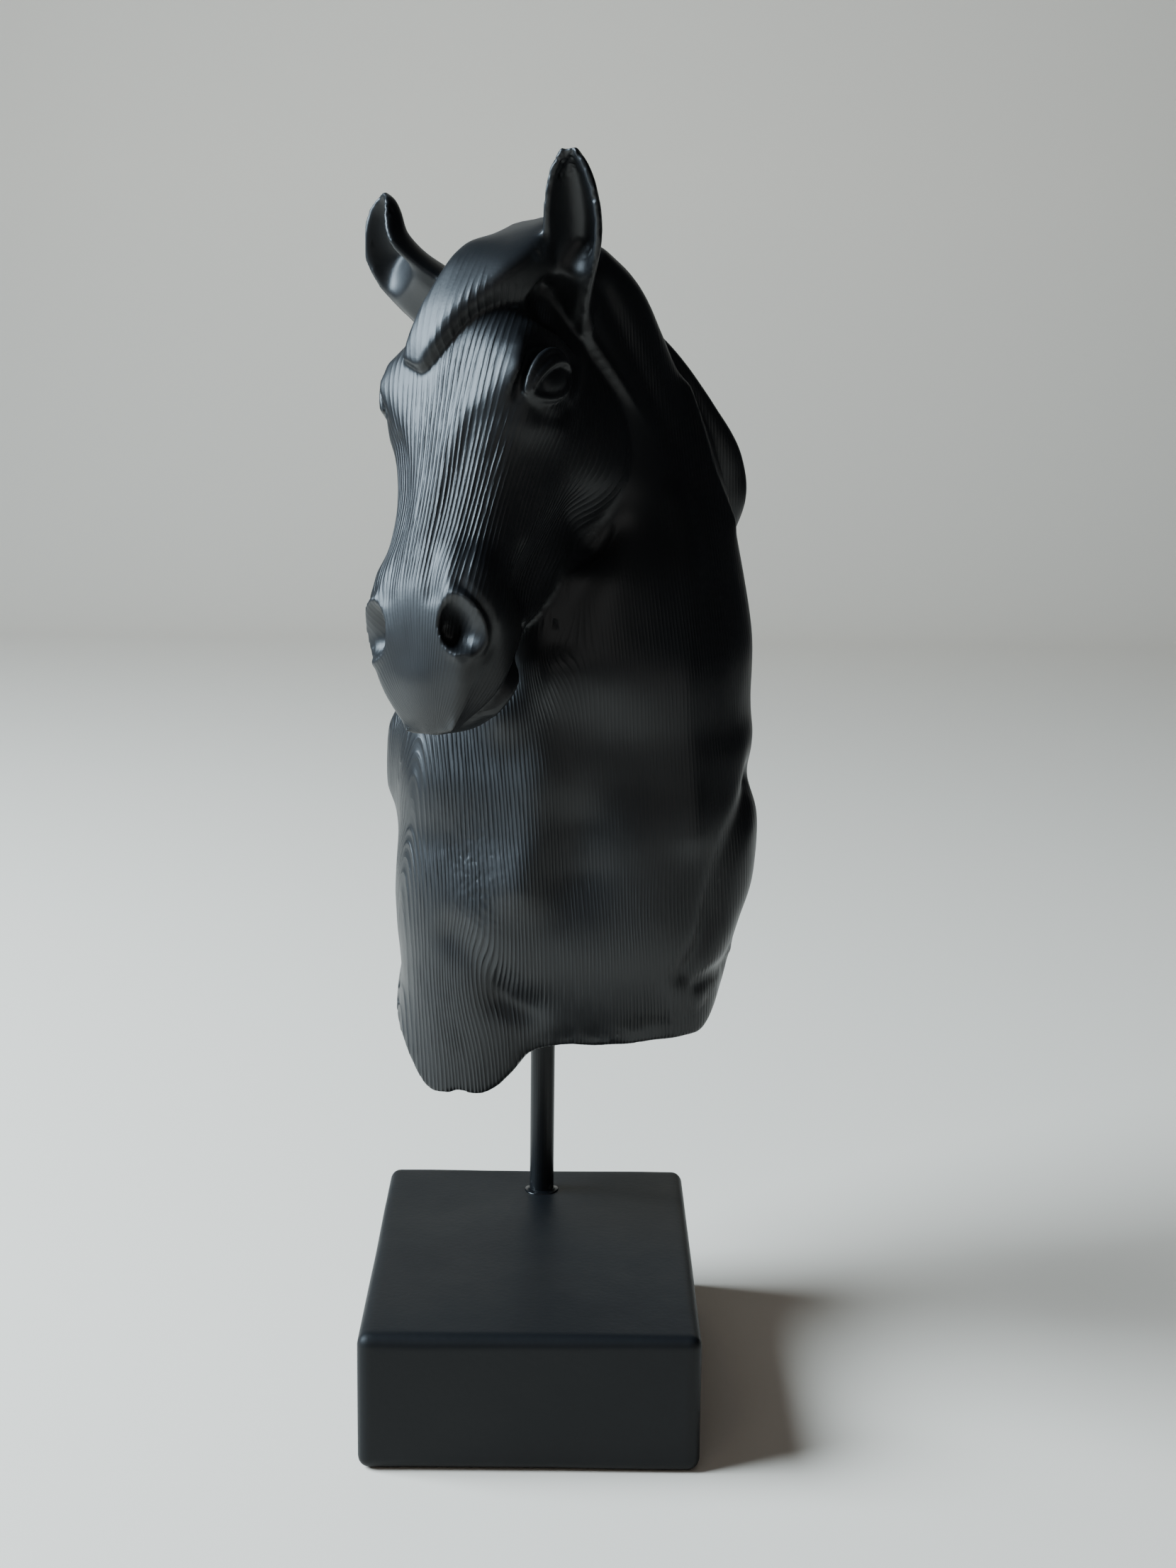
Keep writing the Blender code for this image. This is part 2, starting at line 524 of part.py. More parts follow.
def coordinates(mesh):
    """Points and normals of a mesh as arrays."""
    points = np.empty(len(mesh.vertices) * 3)
    normals = np.empty_like(points)
    mesh.vertices.foreach_get("co", points)
    mesh.vertex_normals.foreach_get("vector", normals)
    return points.reshape(-1, 3), normals.reshape(-1, 3)


def move_to(mesh, points):
    """Puts a mesh's points where the array says."""
    mesh.vertices.foreach_set("co", points.ravel())
    mesh.update()


def relax(mesh, points, rounds):
    """Each point moves half the way to the middle of its neighbours, as many times as asked."""
    ends = np.empty(len(mesh.edges) * 2, np.int64)
    mesh.edges.foreach_get("vertices", ends)
    one, other = ends.reshape(-1, 2).T
    count = np.bincount(ends, minlength=len(points))[:, None]
    for turn in range(rounds):
        total = np.stack([
            np.bincount(one, points[other, axis], len(points)) + np.bincount(other, points[one, axis], len(points))
            for axis in range(3)], 1)
        points = (points + total / count) / 2
    return points


def joined(shapes):
    """Vertices and faces of several rings of shapes as one list."""
    verts, faces = [], []
    for v, f in shapes:
        faces += [[i + len(verts) for i in face] for face in f]
        verts += v.tolist()
    return verts, faces


def shape_of(mesh):
    """Vertices and faces of a mesh of four-cornered faces."""
    corners = np.empty(len(mesh.loops), np.int64)
    mesh.loops.foreach_get("vertex_index", corners)
    return coordinates(mesh)[0], corners.reshape(-1, 4).tolist()


def hidden(shape):
    """Marks a cutter: not rendered, drawn as wire."""
    shape.hide_render = True
    shape.display_type = "WIRE"
    return shape


def cylinder(name, radius, low, high):
    """An upright round bar on the rod's axis."""
    shape = bmesh.new()
    bmesh.ops.create_cone(shape, cap_ends=True, segments=ROD_SIDES, radius1=radius, radius2=radius,
                          depth=high - low)
    data = bpy.data.meshes.new(name)
    shape.to_mesh(data)
    shape.free()
    made = bpy.data.objects.new(name, data)
    made.location = (ROD_X, ROD_Y, (low + high) / 2)
    return made


def cut(shape, cutter, name):
    """Takes the cutter's form out of a piece."""
    mod = shape.modifiers.new(name, "BOOLEAN")
    mod.operation = "DIFFERENCE"
    mod.object = cutter


def build():
    """Makes the block, the rod and the horse, and the two sockets the rod stands in."""
    clear()
    parts = bpy.data.collections.new("horse_bust")
    cutters = bpy.data.collections.new("cutters")
    bpy.context.scene.collection.children.link(parts)
    bpy.context.scene.collection.children.link(cutters)

    rod_foot = PLINTH_HEIGHT - PLINTH_SOCKET_DEPTH
    rod_top = HORSE_FOOT + ROD_INTO_HORSE
    rod = cylinder("rod", ROD_DIAMETER / 2, rod_foot, rod_top)
    rod.data.materials.append(material("lacquered steel", (.012, .012, .013), .38))
    parts.objects.link(rod)
    edge = rod.modifiers.new("edge", "BEVEL")
    edge.width = ROD_EDGE
    edge.segments = 1
    edge.limit_method = "ANGLE"

    hole = ROD_DIAMETER / 2 + FIT_CLEARANCE
    below = cylinder("socket_in_plinth", hole, rod_foot - FIT_CLEARANCE, PLINTH_HEIGHT + PLINTH_EDGE)
    above = cylinder("socket_in_horse", hole, HORSE_FOOT - PLINTH_EDGE, rod_top + FIT_CLEARANCE)
    for cutter in (below, above):
        cutters.objects.link(hidden(cutter))

    block = bmesh.new()
    bmesh.ops.create_cube(block, size=1)
    bmesh.ops.scale(block, verts=block.verts, vec=(PLINTH_WIDTH, PLINTH_DEPTH, PLINTH_HEIGHT))
    data = bpy.data.meshes.new("plinth")
    block.to_mesh(data)
    block.free()
    data.materials.append(material("painted wood", (.014, .014, .016), .45))
    plinth = bpy.data.objects.new("plinth", data)
    plinth.location = (0, 0, PLINTH_HEIGHT / 2)
    parts.objects.link(plinth)
    rounding = plinth.modifiers.new("rounding", "BEVEL")
    rounding.width = PLINTH_EDGE
    rounding.segments = 3
    cut(plinth, below, "socket")

    bare = cast("body", *skin(body()), VOXEL)
    points, normals = coordinates(bare)
    above_foot = ease((points[:, 2:] - FOOT_LEVEL) / FOOT_FADE)
    move_to(bare, points + (relax(bare, points, BODY_ROUNDS) - points) * above_foot)
    shapes = [shape_of(bare)] + [skin(rings) for rings in [head(), forelock(), mane()] + [ear(*one) for one in EARS]]
    made = cast("horse", *joined(shapes), VOXEL)
    move_to(made, relax(made, coordinates(made)[0], 1))
    move_to(made, carve(*coordinates(made)))
    eyes = [skin(rings) for side in (1, -1) for rings in eye_parts(side)]
    made = cast("horse", *joined([shape_of(made)] + eyes), VOXEL)
    points = relax(made, coordinates(made)[0], 1)
    move_to(made, points * UNIT + (ROD_X, ROD_Y, HORSE_FOOT))
    made.materials.append(material("cast resin", (.014, .014, .015), .4))
    horse = bpy.data.objects.new("horse", made)
    parts.objects.link(horse)
    fewer = horse.modifiers.new("facets", "DECIMATE")
    faces = sum(len(face.vertices) - 2 for face in made.polygons)
    fewer.ratio = HORSE_TRIANGLES / faces
    fewer.use_collapse_triangulate = True
    cut(horse, above, "socket")


build()
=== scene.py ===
import bmesh
import bpy
import numpy as np
from mathutils import Matrix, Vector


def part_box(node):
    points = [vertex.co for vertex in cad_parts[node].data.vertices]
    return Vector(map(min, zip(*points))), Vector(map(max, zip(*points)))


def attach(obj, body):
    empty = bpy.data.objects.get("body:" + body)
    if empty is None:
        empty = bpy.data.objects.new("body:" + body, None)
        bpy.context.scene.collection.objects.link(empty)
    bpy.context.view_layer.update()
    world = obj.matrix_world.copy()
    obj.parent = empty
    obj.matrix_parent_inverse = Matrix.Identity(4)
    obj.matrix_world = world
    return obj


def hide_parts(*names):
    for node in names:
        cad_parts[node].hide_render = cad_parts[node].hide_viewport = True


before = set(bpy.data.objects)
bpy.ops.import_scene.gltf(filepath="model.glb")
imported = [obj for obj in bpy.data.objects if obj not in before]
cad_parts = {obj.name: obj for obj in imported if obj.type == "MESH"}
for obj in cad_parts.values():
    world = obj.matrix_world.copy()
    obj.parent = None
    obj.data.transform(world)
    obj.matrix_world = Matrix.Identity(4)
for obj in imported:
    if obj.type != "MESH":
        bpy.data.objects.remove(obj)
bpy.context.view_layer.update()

# Horse
# Head and chest of a horse, one hollow casting of dark resin. Its mould was taken from a carving
# in coarse timber that was brushed until the rings stood up, and broken off under the shoulders.
MM = 0.001

# The rod's axis at the level of the horse's lowest chip. The horse is drawn in millimetres from
# there: x to the right, y away from the viewer, z up.
ROD_AXIS = np.array([2.0, 49.0, 87.0])


def cubic(start, end, leave, arrive, p):
    """A cubic from start to end as p goes from 0 to 1, with the slopes leave and arrive there."""
    rise = end - start
    return start + leave * p + (3 * rise - 2 * leave - arrive) * p**2 + (leave + arrive - 2 * rise) * p**3


def through(knots, at, steady=False):
    """Smooth curve through knots of (place, value, ...): between two knots a cubic, whose slope
    at a knot comes from its neighbours. A steady curve never swings past its knots."""
    knots = np.array(knots, float)
    place, value = knots[:, 0], knots[:, 1:]
    slope = np.gradient(value, place, axis=0)
    if steady:
        grade = np.diff(value, axis=0) / np.diff(place)[:, None]
        before, after = grade[:-1], grade[1:]
        same = before * after > 0
        slope[1:-1] = np.where(same, 2 * before * after / np.where(same, before + after, 1), 0)
    at = np.atleast_1d(np.asarray(at, float))
    i = np.clip(np.searchsorted(place, at, side="right") - 1, 0, len(place) - 2)
    span = (place[i + 1] - place[i])[:, None]
    p = np.clip((at - place[i])[:, None] / span, 0, 1)
    return cubic(value[i], value[i + 1], slope[i] * span, slope[i + 1] * span, p)


def ease(x):
    """Smooth step from 0 to 1 as x goes from 0 to 1."""
    x = np.clip(x, 0, 1)
    return x * x * (3 - 2 * x)


def fade(value, start, end):
    """Smooth step from 0 to 1 as a value goes from start to end."""
    return ease((value - start) / (end - start))


def unit(v):
    """Vectors cut to length 1."""
    v = np.asarray(v, float)
    return v / np.maximum(np.linalg.norm(v, axis=-1, keepdims=True), 1e-9)


def boxy(turn, power):
    """Cosine and sine of an angle, raised to a power with their signs kept: a power of 1 gives
    an oval, and a smaller one a box with round corners."""
    c, s = np.cos(turn), np.sin(turn)
    return np.sign(c) * np.abs(c) ** power, np.sign(s) * np.abs(s) ** power


def skin(rings):
    """Vertices and faces of a closed tube over rings, with a fan over each end."""
    rows, around = rings.shape[:2]
    verts = np.vstack([rings.reshape(-1, 3), rings[0].mean(0), rings[-1].mean(0)])
    step = np.arange(around)
    after = (step + 1) % around
    faces = []
    for row in range(rows - 1):
        low, high = row * around, (row + 1) * around
        faces += np.stack([low + step, low + after, high + after, high + step], 1).tolist()
    foot, head = rows * around, rows * around + 1
    faces += np.stack([np.full(around, foot), after, step], 1).tolist()
    top = (rows - 1) * around
    faces += np.stack([np.full(around, head), top + step, top + after], 1).tolist()
    return verts, faces


# Body: place along it, breast line x y z, back line x y z, half width, squareness
BODY = (
    (0.00, 4, -39, 16, 4, 39, 18, 53, 3.4),
    (0.09, 7, -43, 36, 8, 42, 38, 54, 3.1),
    (0.20, 7, -45, 58, 9, 45, 62, 56.5, 2.7),
    (0.30, 8, -45.5, 78, 12, 46, 84, 57.2, 2.5),
    (0.40, 6, -43.5, 98, 12, 47, 104, 57.8, 2.4),
    (0.50, 2, -39.5, 119, 20, 48, 128, 57, 2.3),
    (0.60, -2, -37, 142, 39, 48, 154, 48, 2.2),
    (0.70, 2, -28, 163, 48, 46, 180, 32, 2.1),
    (0.79, 8, -14, 181, 48, 43, 203, 21, 2.0),
    (0.88, 4, -7, 202, 37, 32, 228, 17, 2.0),
    (0.95, -2, -7, 222, 25, 18, 255, 15, 2.0),
    (1.00, -8, -10, 238, 13, 7, 267, 12, 2.0),
)
# Lower edge, as it broke: x, then its height above the lowest chip
FOOT_LINE = (
    (-52, 22), (-48, 10), (-44, 1), (-38, -7), (-33, -9), (-27, -5), (-22, -5), (-16, -2), (-10, 5),
    (-4, 13), (4, 17), (20, 20), (36, 24), (46, 26), (52, 28), (57, 36), (62, 45), (70, 50),
)
BACK_FOOT_LINE = (
    (-52, 20), (-40, 17), (-30, 20), (-15, 15), (0, 18), (15, 14), (30, 19), (45, 22), (60, 28),
)
# Height at which that edge has faded out, and the depth over which the front line turns into
# the back one
FOOT_TOP = 70
FOOT_DEPTH = 40
BODY_RINGS = 240
BODY_SIDES = 288


def body():
    """Chest and neck: boxy rings between the breast line and the back line, pulled down or up to
    the broken edge near the foot."""
    row = through(BODY, np.linspace(0, 1, BODY_RINGS))
    front, back, half, square = row[:, 0:3], row[:, 3:6], row[:, 6:7], row[:, 7:8]
    middle, depth = (front + back) / 2, (front - back) / 2
    side = unit(np.cross(np.gradient(middle, axis=0), depth))
    c, s = boxy(np.linspace(0, 2 * np.pi, BODY_SIDES, endpoint=False), 2 / square)
    rings = middle[:, None] + depth[:, None] * c[..., None] + side[:, None] * (half * s)[..., None]
    flat_foot = BODY[0][3]
    low = fade(rings[..., 2], FOOT_TOP, flat_foot)
    behind = ease(rings[..., 1] / FOOT_DEPTH + .5)
    across = rings[..., 0].ravel()
    line, back_line = (through(edge, across).reshape(low.shape) for edge in (FOOT_LINE, BACK_FOOT_LINE))
    rings[..., 2] += low * (line + (back_line - line) * behind - flat_foot)
    return rings


# Head: poll, length from poll to lips, turn to the right, nose forward, tilt
POLL = (-21.0, -12.0, 266.5)
HEAD_LENGTH = 153.0
HEAD_TURN = 38.0
HEAD_NOD = 28.0
HEAD_TILT = -9.0


def head_axes():
    """Unit axes of the head: down the face, out of the face, to the horse's left."""
    turn, nod, tilt = np.radians([HEAD_TURN, HEAD_NOD, HEAD_TILT])
    ahead = np.array([-np.sin(turn), -np.cos(turn), 0])
    left = np.array([np.cos(turn), -np.sin(turn), 0])
    up = np.array([0, 0, 1.0])
    along = ahead * np.sin(nod) - up * np.cos(nod)
    out = ahead * np.cos(nod) + up * np.sin(nod)
    return np.array([
        along * np.cos(tilt) - left * np.sin(tilt),
        out,
        left * np.cos(tilt) + along * np.sin(tilt),
    ])


def on_head(place):
    """Plan points of (down the face, out of it, to its left), in head lengths."""
    return np.array(POLL) + HEAD_LENGTH * np.asarray(place, float) @ head_axes()


def in_head(points):
    """Plan points as (down the face, out of it, to its left), in head lengths."""
    return (points - POLL) @ head_axes().T / HEAD_LENGTH


# Head, in head lengths: place down the face, then a height or half width
FACE_LINE = ((0, -.06), (.06, -.015), (.14, .015), (.25, .03), (.38, .022), (.55, .002),
             (.70, -.002), (.76, -.006), (.82, -.026), (.88, -.056), (.94, -.092), (.98, -.125), (1, -.155))
FACE_EDGE = ((0, .06), (.15, .082), (.24, .112), (.32, .142), (.40, .100), (.5, .060), (.65, .050),
             (.77, .100), (.86, .106), (.94, .084), (1, .045))
EDGE_DROP = ((0, .05), (.15, .035), (.24, .014), (.32, .010), (.5, .009), (.65, .010), (.77, .014),
             (.86, .010), (.94, .012), (1, .012))
SLOPE_WIDTH = ((0, .08), (.15, .112), (.24, .148), (.32, .178), (.40, .156), (.5, .130), (.65, .114),
               (.77, .142), (.86, .126), (.94, .092), (1, .055))
SLOPE_LINE = ((0, -.10), (.15, -.07), (.24, -.040), (.32, -.020), (.40, -.056), (.5, -.068), (.65, -.064),
              (.77, -.065), (.86, -.092), (.94, -.125), (1, -.155))
SIDE_WIDTH = ((0, .085), (.15, .128), (.25, .153), (.33, .168), (.45, .158), (.6, .138), (.7, .132),
              (.79, .150), (.87, .126), (.94, .092), (1, .058))
SIDE_LINE = ((0, -.16), (.33, -.19), (.5, -.17), (.7, -.13), (.87, -.12), (1, -.14))
JAW_WIDTH = ((0, .10), (.15, .13), (.35, .158), (.5, .13), (.65, .086), (.8, .096), (.9, .092), (1, .025))
JAW_LINE = ((0, -.24), (.2, -.39), (.38, -.465), (.5, -.44), (.6, -.365), (.72, -.28),
            (.8, -.245), (.9, -.25), (1, -.16))
UNDER_LINE = ((0, -.29), (.2, -.45), (.38, -.515), (.5, -.48), (.6, -.395), (.72, -.31),
              (.8, -.27), (.88, -.29), (.95, -.26), (1, -.17))
# Rows down to the tip of the muzzle, and rows round it, closer and closer like a sine
TIP = .9
TIP_LENGTH = .1
HEAD_ROWS = 150
TIP_ROWS = 40
# Points on a loop between two of its ten corners
LOOP_STEPS = 28


def loop_through(points):
    """Smooth closed loops through rings of points, a cubic piece between each two."""
    before, after = np.roll(points, 1, 1), np.roll(points, -1, 1)
    slope = (after - before) / 2
    p = np.linspace(0, 1, LOOP_STEPS, endpoint=False)[None, None, :, None]
    leave, arrive = slope[:, :, None], np.roll(slope, -1, 1)[:, :, None]
    out = cubic(points[:, :, None], after[:, :, None], leave, arrive, p)
    return out.reshape(len(points), -1, points.shape[-1])


def head():
    """Skull and muzzle: loops through the face, its edge, the side, the jaw and below."""
    round_tip = TIP_LENGTH * np.sin(np.linspace(0, np.pi / 2, TIP_ROWS))[1:]
    place = np.concatenate([np.linspace(0, TIP, HEAD_ROWS), TIP + round_tip])
    face, edge, drop, slope, slope_line, wide, line, jaw, jaw_line, under = (
        through(k, place)[:, 0] for k in
        (FACE_LINE, FACE_EDGE, EDGE_DROP, SLOPE_WIDTH, SLOPE_LINE, SIDE_WIDTH, SIDE_LINE,
         JAW_WIDTH, JAW_LINE, UNDER_LINE))
    zero = np.zeros_like(place)
    half = [(face, zero), (face - drop, edge), (slope_line, slope), (line, wide), (jaw_line, jaw),
            (under, zero)]
    points = half + [(h, -w) for h, w in half[4:0:-1]]
    loop = np.stack([np.stack([place, h, w], 1) for h, w in points], 1)
    return on_head(loop_through(loop))


# Ears, the horse's left one first: base, bend and tip in plan units, the way the cup opens,
# its widest half width, how much of that is left at the tip and how much is added at the root.
# Then how wide and how hollow it is along its length, and its wall.
EARS = (
    ((4, -3, 236), (7.5, -22, 265), (5.5, -28, 292), (-.35, -.93, .05), 9.0, .36, 0),
    ((-24, -6, 239), (-49, -8, 260), (-51.5, -5, 280), (-.85, -.50, .10), 8.8, .10, .75),
)
EAR_HALF = ((0, .80), (.3, .84), (.58, 1), (.78, .84), (.92, .52), (1, 0))
EAR_OPEN = ((0, 0), (.32, .05), (.48, 1), (.9, .9), (1, .6))
EAR_WALL = 2.4
# In half widths: how far the lips curl forward, how deep the back is, how full the solid front.
# Then the curl inside beside that outside, the least half width in there, and the root's reach.
EAR_CURL = .35
EAR_BACK = .95
EAR_FILL = .5
INNER_CURL = .9
LEAST_INSIDE = .3
ROOT_REACH = .7
EAR_ROWS = 70
EAR_STEPS = 36


def ear(base, bend, tip, opening, half, blunt, flare):
    """A leaf-shaped cup: half rings round the back, and a front that sinks from flush to hollow."""
    place = np.linspace(0, 1, EAR_ROWS)
    middle = through(((0, *base), (.5, *bend), (1, *tip)), place)
    axis = unit(np.gradient(middle, axis=0))
    across = unit(np.cross(axis, opening))
    front = np.cross(across, axis)
    radius = half * np.hypot(through(EAR_HALF, place, steady=True), blunt)
    radius *= 1 + flare * ease(1 - place[:, None] / ROOT_REACH)
    hollow = through(EAR_OPEN, place, steady=True)
    turn = np.linspace(0, np.pi, EAR_STEPS)
    c, s = np.cos(turn), np.sin(turn)
    lip = EAR_CURL * radius * c**2
    outer = np.stack([radius * c, lip - radius * EAR_BACK * s], -1)
    inside = (radius - EAR_WALL).clip(LEAST_INSIDE)
    filled, sunk = radius * EAR_FILL * s, -inside * EAR_BACK * s
    inner = np.stack([inside * c, INNER_CURL * lip + filled * (1 - hollow) + sunk * hollow], -1)
    loop = np.concatenate([outer, inner[:, ::-1]], 1)
    return middle[:, None] + loop[..., :1] * across[:, None] + loop[..., 1:] * front[:, None]


# Forelock: place along, then down the face, out of it, to the left, half width, half thickness
FORELOCK = (
    (0, -.05, -.125, .055, .07, .05),
    (.2, .025, -.060, .055, .088, .052),
    (.45, .095, -.008, .034, .086, .050),
    (.7, .180, .016, -.010, .06, .047),
    (.9, .258, .018, -.050, .044, .042),
    (1, .296, .012, -.070, .034, .036),
)
FORELOCK_ROWS = 90
FORELOCK_POWER = .38

# Mane: place along, then x, y, z, half height, half thickness
MANE = (
    (0, -10, -2, 252, 8, 5),
    (.2, 8, 17, 242, 12, 6),
    (.4, 26, 31, 226, 15, 7),
    (.6, 41, 41, 205, 16.5, 8),
    (.8, 51.5, 47, 189, 15, 8.5),
    (.93, 56, 49, 178, 10, 7),
    (1, 58, 50, 171, 3, 3),
)
MANE_ROWS = 120
MANE_POWER = .75
MANE_OUT = np.array([-.2, .9, .35])
LOCK_SIDES = 84


def lock(middle, wide, thick, out, power):
    """A flattened lock of hair: boxy or oval rings along a line, their flat side turned out."""
    along = unit(np.gradient(middle, axis=0))
    across = unit(np.cross(along, out))
    rise = np.cross(across, along)
    c, s = boxy(np.linspace(0, 2 * np.pi, LOCK_SIDES, endpoint=False), power)
    return (middle[:, None] + across[:, None] * (wide * c)[..., None]
            + rise[:, None] * (thick * s)[..., None])


def forelock():
    """Forelock, swept over the forehead to the horse's right."""
    row = through(FORELOCK, np.linspace(0, 1, FORELOCK_ROWS))
    wide, thick = row[:, 3:4] * HEAD_LENGTH, row[:, 4:5] * HEAD_LENGTH
    return lock(on_head(row[:, :3]), wide, thick, head_axes()[1], FORELOCK_POWER)


def mane():
    """Mane, lying over the far side of the crest."""
    row = through(MANE, np.linspace(0, 1, MANE_ROWS))
    return lock(row[:, :3], row[:, 3:4], row[:, 4:5], MANE_OUT, MANE_POWER)


# Eye, in head lengths: its middle, the way its corners lie, the half length of its opening
EYE = (.307, -.080, .174)
EYE_AXIS = (-.68, -.73)
EYE_LONG = .072
# Half length, half height and bulge of the mound the lids lie on, then of the ball
EYE_MOUNDS = ((.080, .056, .019), (.050, .034, .030))
# Lids and the fold above: height over the middle, how far out, thickness, length beside the eye
LIDS = ((.036, .023, .0100, 1), (-.030, .019, .0085, 1), (.058, .016, .0080, 1.12))
# The power of a lid's arch, how much further in its ends lie, and how much thinner they are
LID_ARCH = .7
LID_SINK = .014
LID_TAPER = .45
EYE_RINGS = 26
EYE_SIDES = 32
LID_ROWS = 41


def eye_parts(side):
    """An eye's mound and ball, two flattened balls, and its lids and the fold above, rods that
    arch from corner to corner and taper to their ends."""
    long, high, out = unit((*EYE_AXIS, 0)), unit((EYE_AXIS[1], -EYE_AXIS[0], 0)), np.array([0, 0, 1.0])
    turn = np.linspace(0, 2 * np.pi, EYE_SIDES, endpoint=False)
    rise = np.linspace(-np.pi / 2, np.pi / 2, EYE_RINGS)[1:-1, None]
    parts = [EYE + (half_long * np.cos(rise) * np.cos(turn))[..., None] * long
             + (half_high * np.cos(rise) * np.sin(turn))[..., None] * high
             + (bulge * np.sin(rise) * np.ones_like(turn))[..., None] * out
             for half_long, half_high, bulge in EYE_MOUNDS]
    place = np.linspace(-1, 1, LID_ROWS)
    for height, lift, thick, length in LIDS:
        middle = (EYE + (EYE_LONG * length * place)[:, None] * long
                  + (height * (1 - place**2) ** LID_ARCH)[:, None] * high
                  + (lift - LID_SINK * place**2)[:, None] * out)
        along = unit(np.gradient(middle, axis=0))
        across = unit(np.cross(along, out))
        up = np.cross(across, along)
        radius = (thick * (1 - LID_TAPER * place**4))[:, None, None]
        parts.append(middle[:, None] + radius * (np.cos(turn)[:, None] * across[:, None]
                                                 + np.sin(turn)[:, None] * up[:, None]))
    return [on_head(part * (1, 1, side)) for part in parts]


# Nostril, in head lengths: its middle, the ways it lies lengthwise and across, its half length
# and half width, then the way it goes in and how deep
NOSTRIL = (.822, -.056, .098)
NOSTRIL_LENGTHWISE = (.80, -.59, .08)
NOSTRIL_ACROSS = (-.26, -.66, .70)
NOSTRIL_HALF = (.058, .040)
NOSTRIL_INWARD = (-.10, -.58, -.80)
NOSTRIL_DEPTH = .062
# How much wider it is at one end, how near its plane the skin moves, and how that fades
NOSTRIL_EGG = .22
NOSTRIL_REACH = .075
NOSTRIL_FADE = .03
# In half widths: how steep its wall is, then place and width of its lip and of the dip behind.
# In head lengths: the lip's height, what the far side adds, the dip.
NOSTRIL_WALL = .36
LIP_RING, LIP_WIDTH = 1.06, .13
DIP_RING, DIP_WIDTH = 1.42, .16
LIP_HEIGHT, LIP_FLARE, DIP_DEPTH = .005, .004, .007


def nostril(local):
    """How far, in head lengths, each point moves at a nostril: an egg-shaped hollow that goes in
    towards the middle of the head, with a thin lip round it and a dip behind the lip. Lip and
    dip are bells over the distance from the middle, counted in half widths."""
    lengthwise = unit(NOSTRIL_LENGTHWISE)
    across = unit(np.array(NOSTRIL_ACROSS) - np.dot(NOSTRIL_ACROSS, lengthwise) * lengthwise)
    outward = np.cross(across, lengthwise)
    near = local - NOSTRIL
    along = near @ lengthwise / NOSTRIL_HALF[0]
    aside = near @ across / NOSTRIL_HALF[1] / (1 + NOSTRIL_EGG * np.clip(along, -1, 1))
    apart = np.hypot(along, aside)
    far_side = np.clip(aside, -1, 1)
    at_skin = ease((NOSTRIL_REACH - np.abs(near @ outward)) / NOSTRIL_FADE)
    wall = NOSTRIL_WALL + .5 * (1 + far_side)
    hollow = ease((1 - apart) / wall) * NOSTRIL_DEPTH * at_skin
    lip = np.exp(-((apart - LIP_RING) / LIP_WIDTH) ** 2) * (LIP_HEIGHT + LIP_FLARE * far_side) * at_skin
    dip = np.exp(-((apart - DIP_RING) / DIP_WIDTH) ** 2) * ease(aside - .1) * DIP_DEPTH * at_skin
    return hollow[:, None] * unit(NOSTRIL_INWARD), lip - dip


# Carving on both sides of the head, in head lengths: a path of (down the face, out of it,
# outward), then its half width and how far it stands out
HEAD_CARVING = (
    ("eye socket", ((.36, -.055, .19), (.29, -.110, .19)), .034, -.014),
    ("orbit rim", ((.27, .0, .17), (.221, -.014, .165), (.190, -.061, .16), (.182, -.115, .155),
                   (.20, -.165, .15)), .015, .008),
    ("brow", ((.20, -.04, .14), (.18, -.12, .15)), .022, .005),
    ("under the eye", ((.385, -.075, .19), (.36, -.13, .185), (.30, -.175, .18)), .014, -.007),
    ("tear corner", ((.392, -.016, .18),), .012, -.008),
    ("temple hollow", ((.10, -.09, .12), (.14, -.10, .13)), .036, -.022),
    ("arch behind the eye", ((.30, -.17, .17), (.22, -.19, .165), (.13, -.20, .15), (.05, -.20, .13)),
     .018, .010),
    ("nasal corner", ((.42, -.05, .155), (.52, -.055, .14), (.62, -.055, .125), (.70, -.05, .115)),
     .030, .008),
    ("facial crest", ((.38, -.15, .165), (.5, -.16, .155), (.6, -.155, .14)), .026, .005),
    ("cheek", ((.25, -.31, .16), (.36, -.32, .15)), .11, .022),
    ("cheek rim", ((.07, -.15, .13), (.12, -.20, .15), (.18, -.29, .16), (.25, -.40, .155),
                   (.33, -.47, .145), (.42, -.49, .135), (.51, -.45, .12), (.57, -.40, .11)),
     .0085, .010),
    ("behind the cheek", ((.04, -.22, .12), (.12, -.32, .13), (.24, -.47, .13), (.34, -.53, .13)),
     .03, -.022),
    ("cheek hollow", ((.50, -.27, .14), (.60, -.23, .12), (.68, -.20, .11)), .05, -.022),
    ("jaw bar", ((.55, -.37, .11), (.65, -.31, .10), (.70, -.29, .095)), .018, .010),
    ("mouth", ((.745, -.254, .10), (.766, -.244, .10), (.812, -.237, .10), (.879, -.217, .095),
               (.92, -.21, .08), (.955, -.20, .05), (.97, -.19, .0)), .009, -.022),
    ("lower lip", ((.79, -.266, .10), (.83, -.258, .098), (.885, -.240, .09),
                   (.93, -.232, .07)), .011, .010),
)
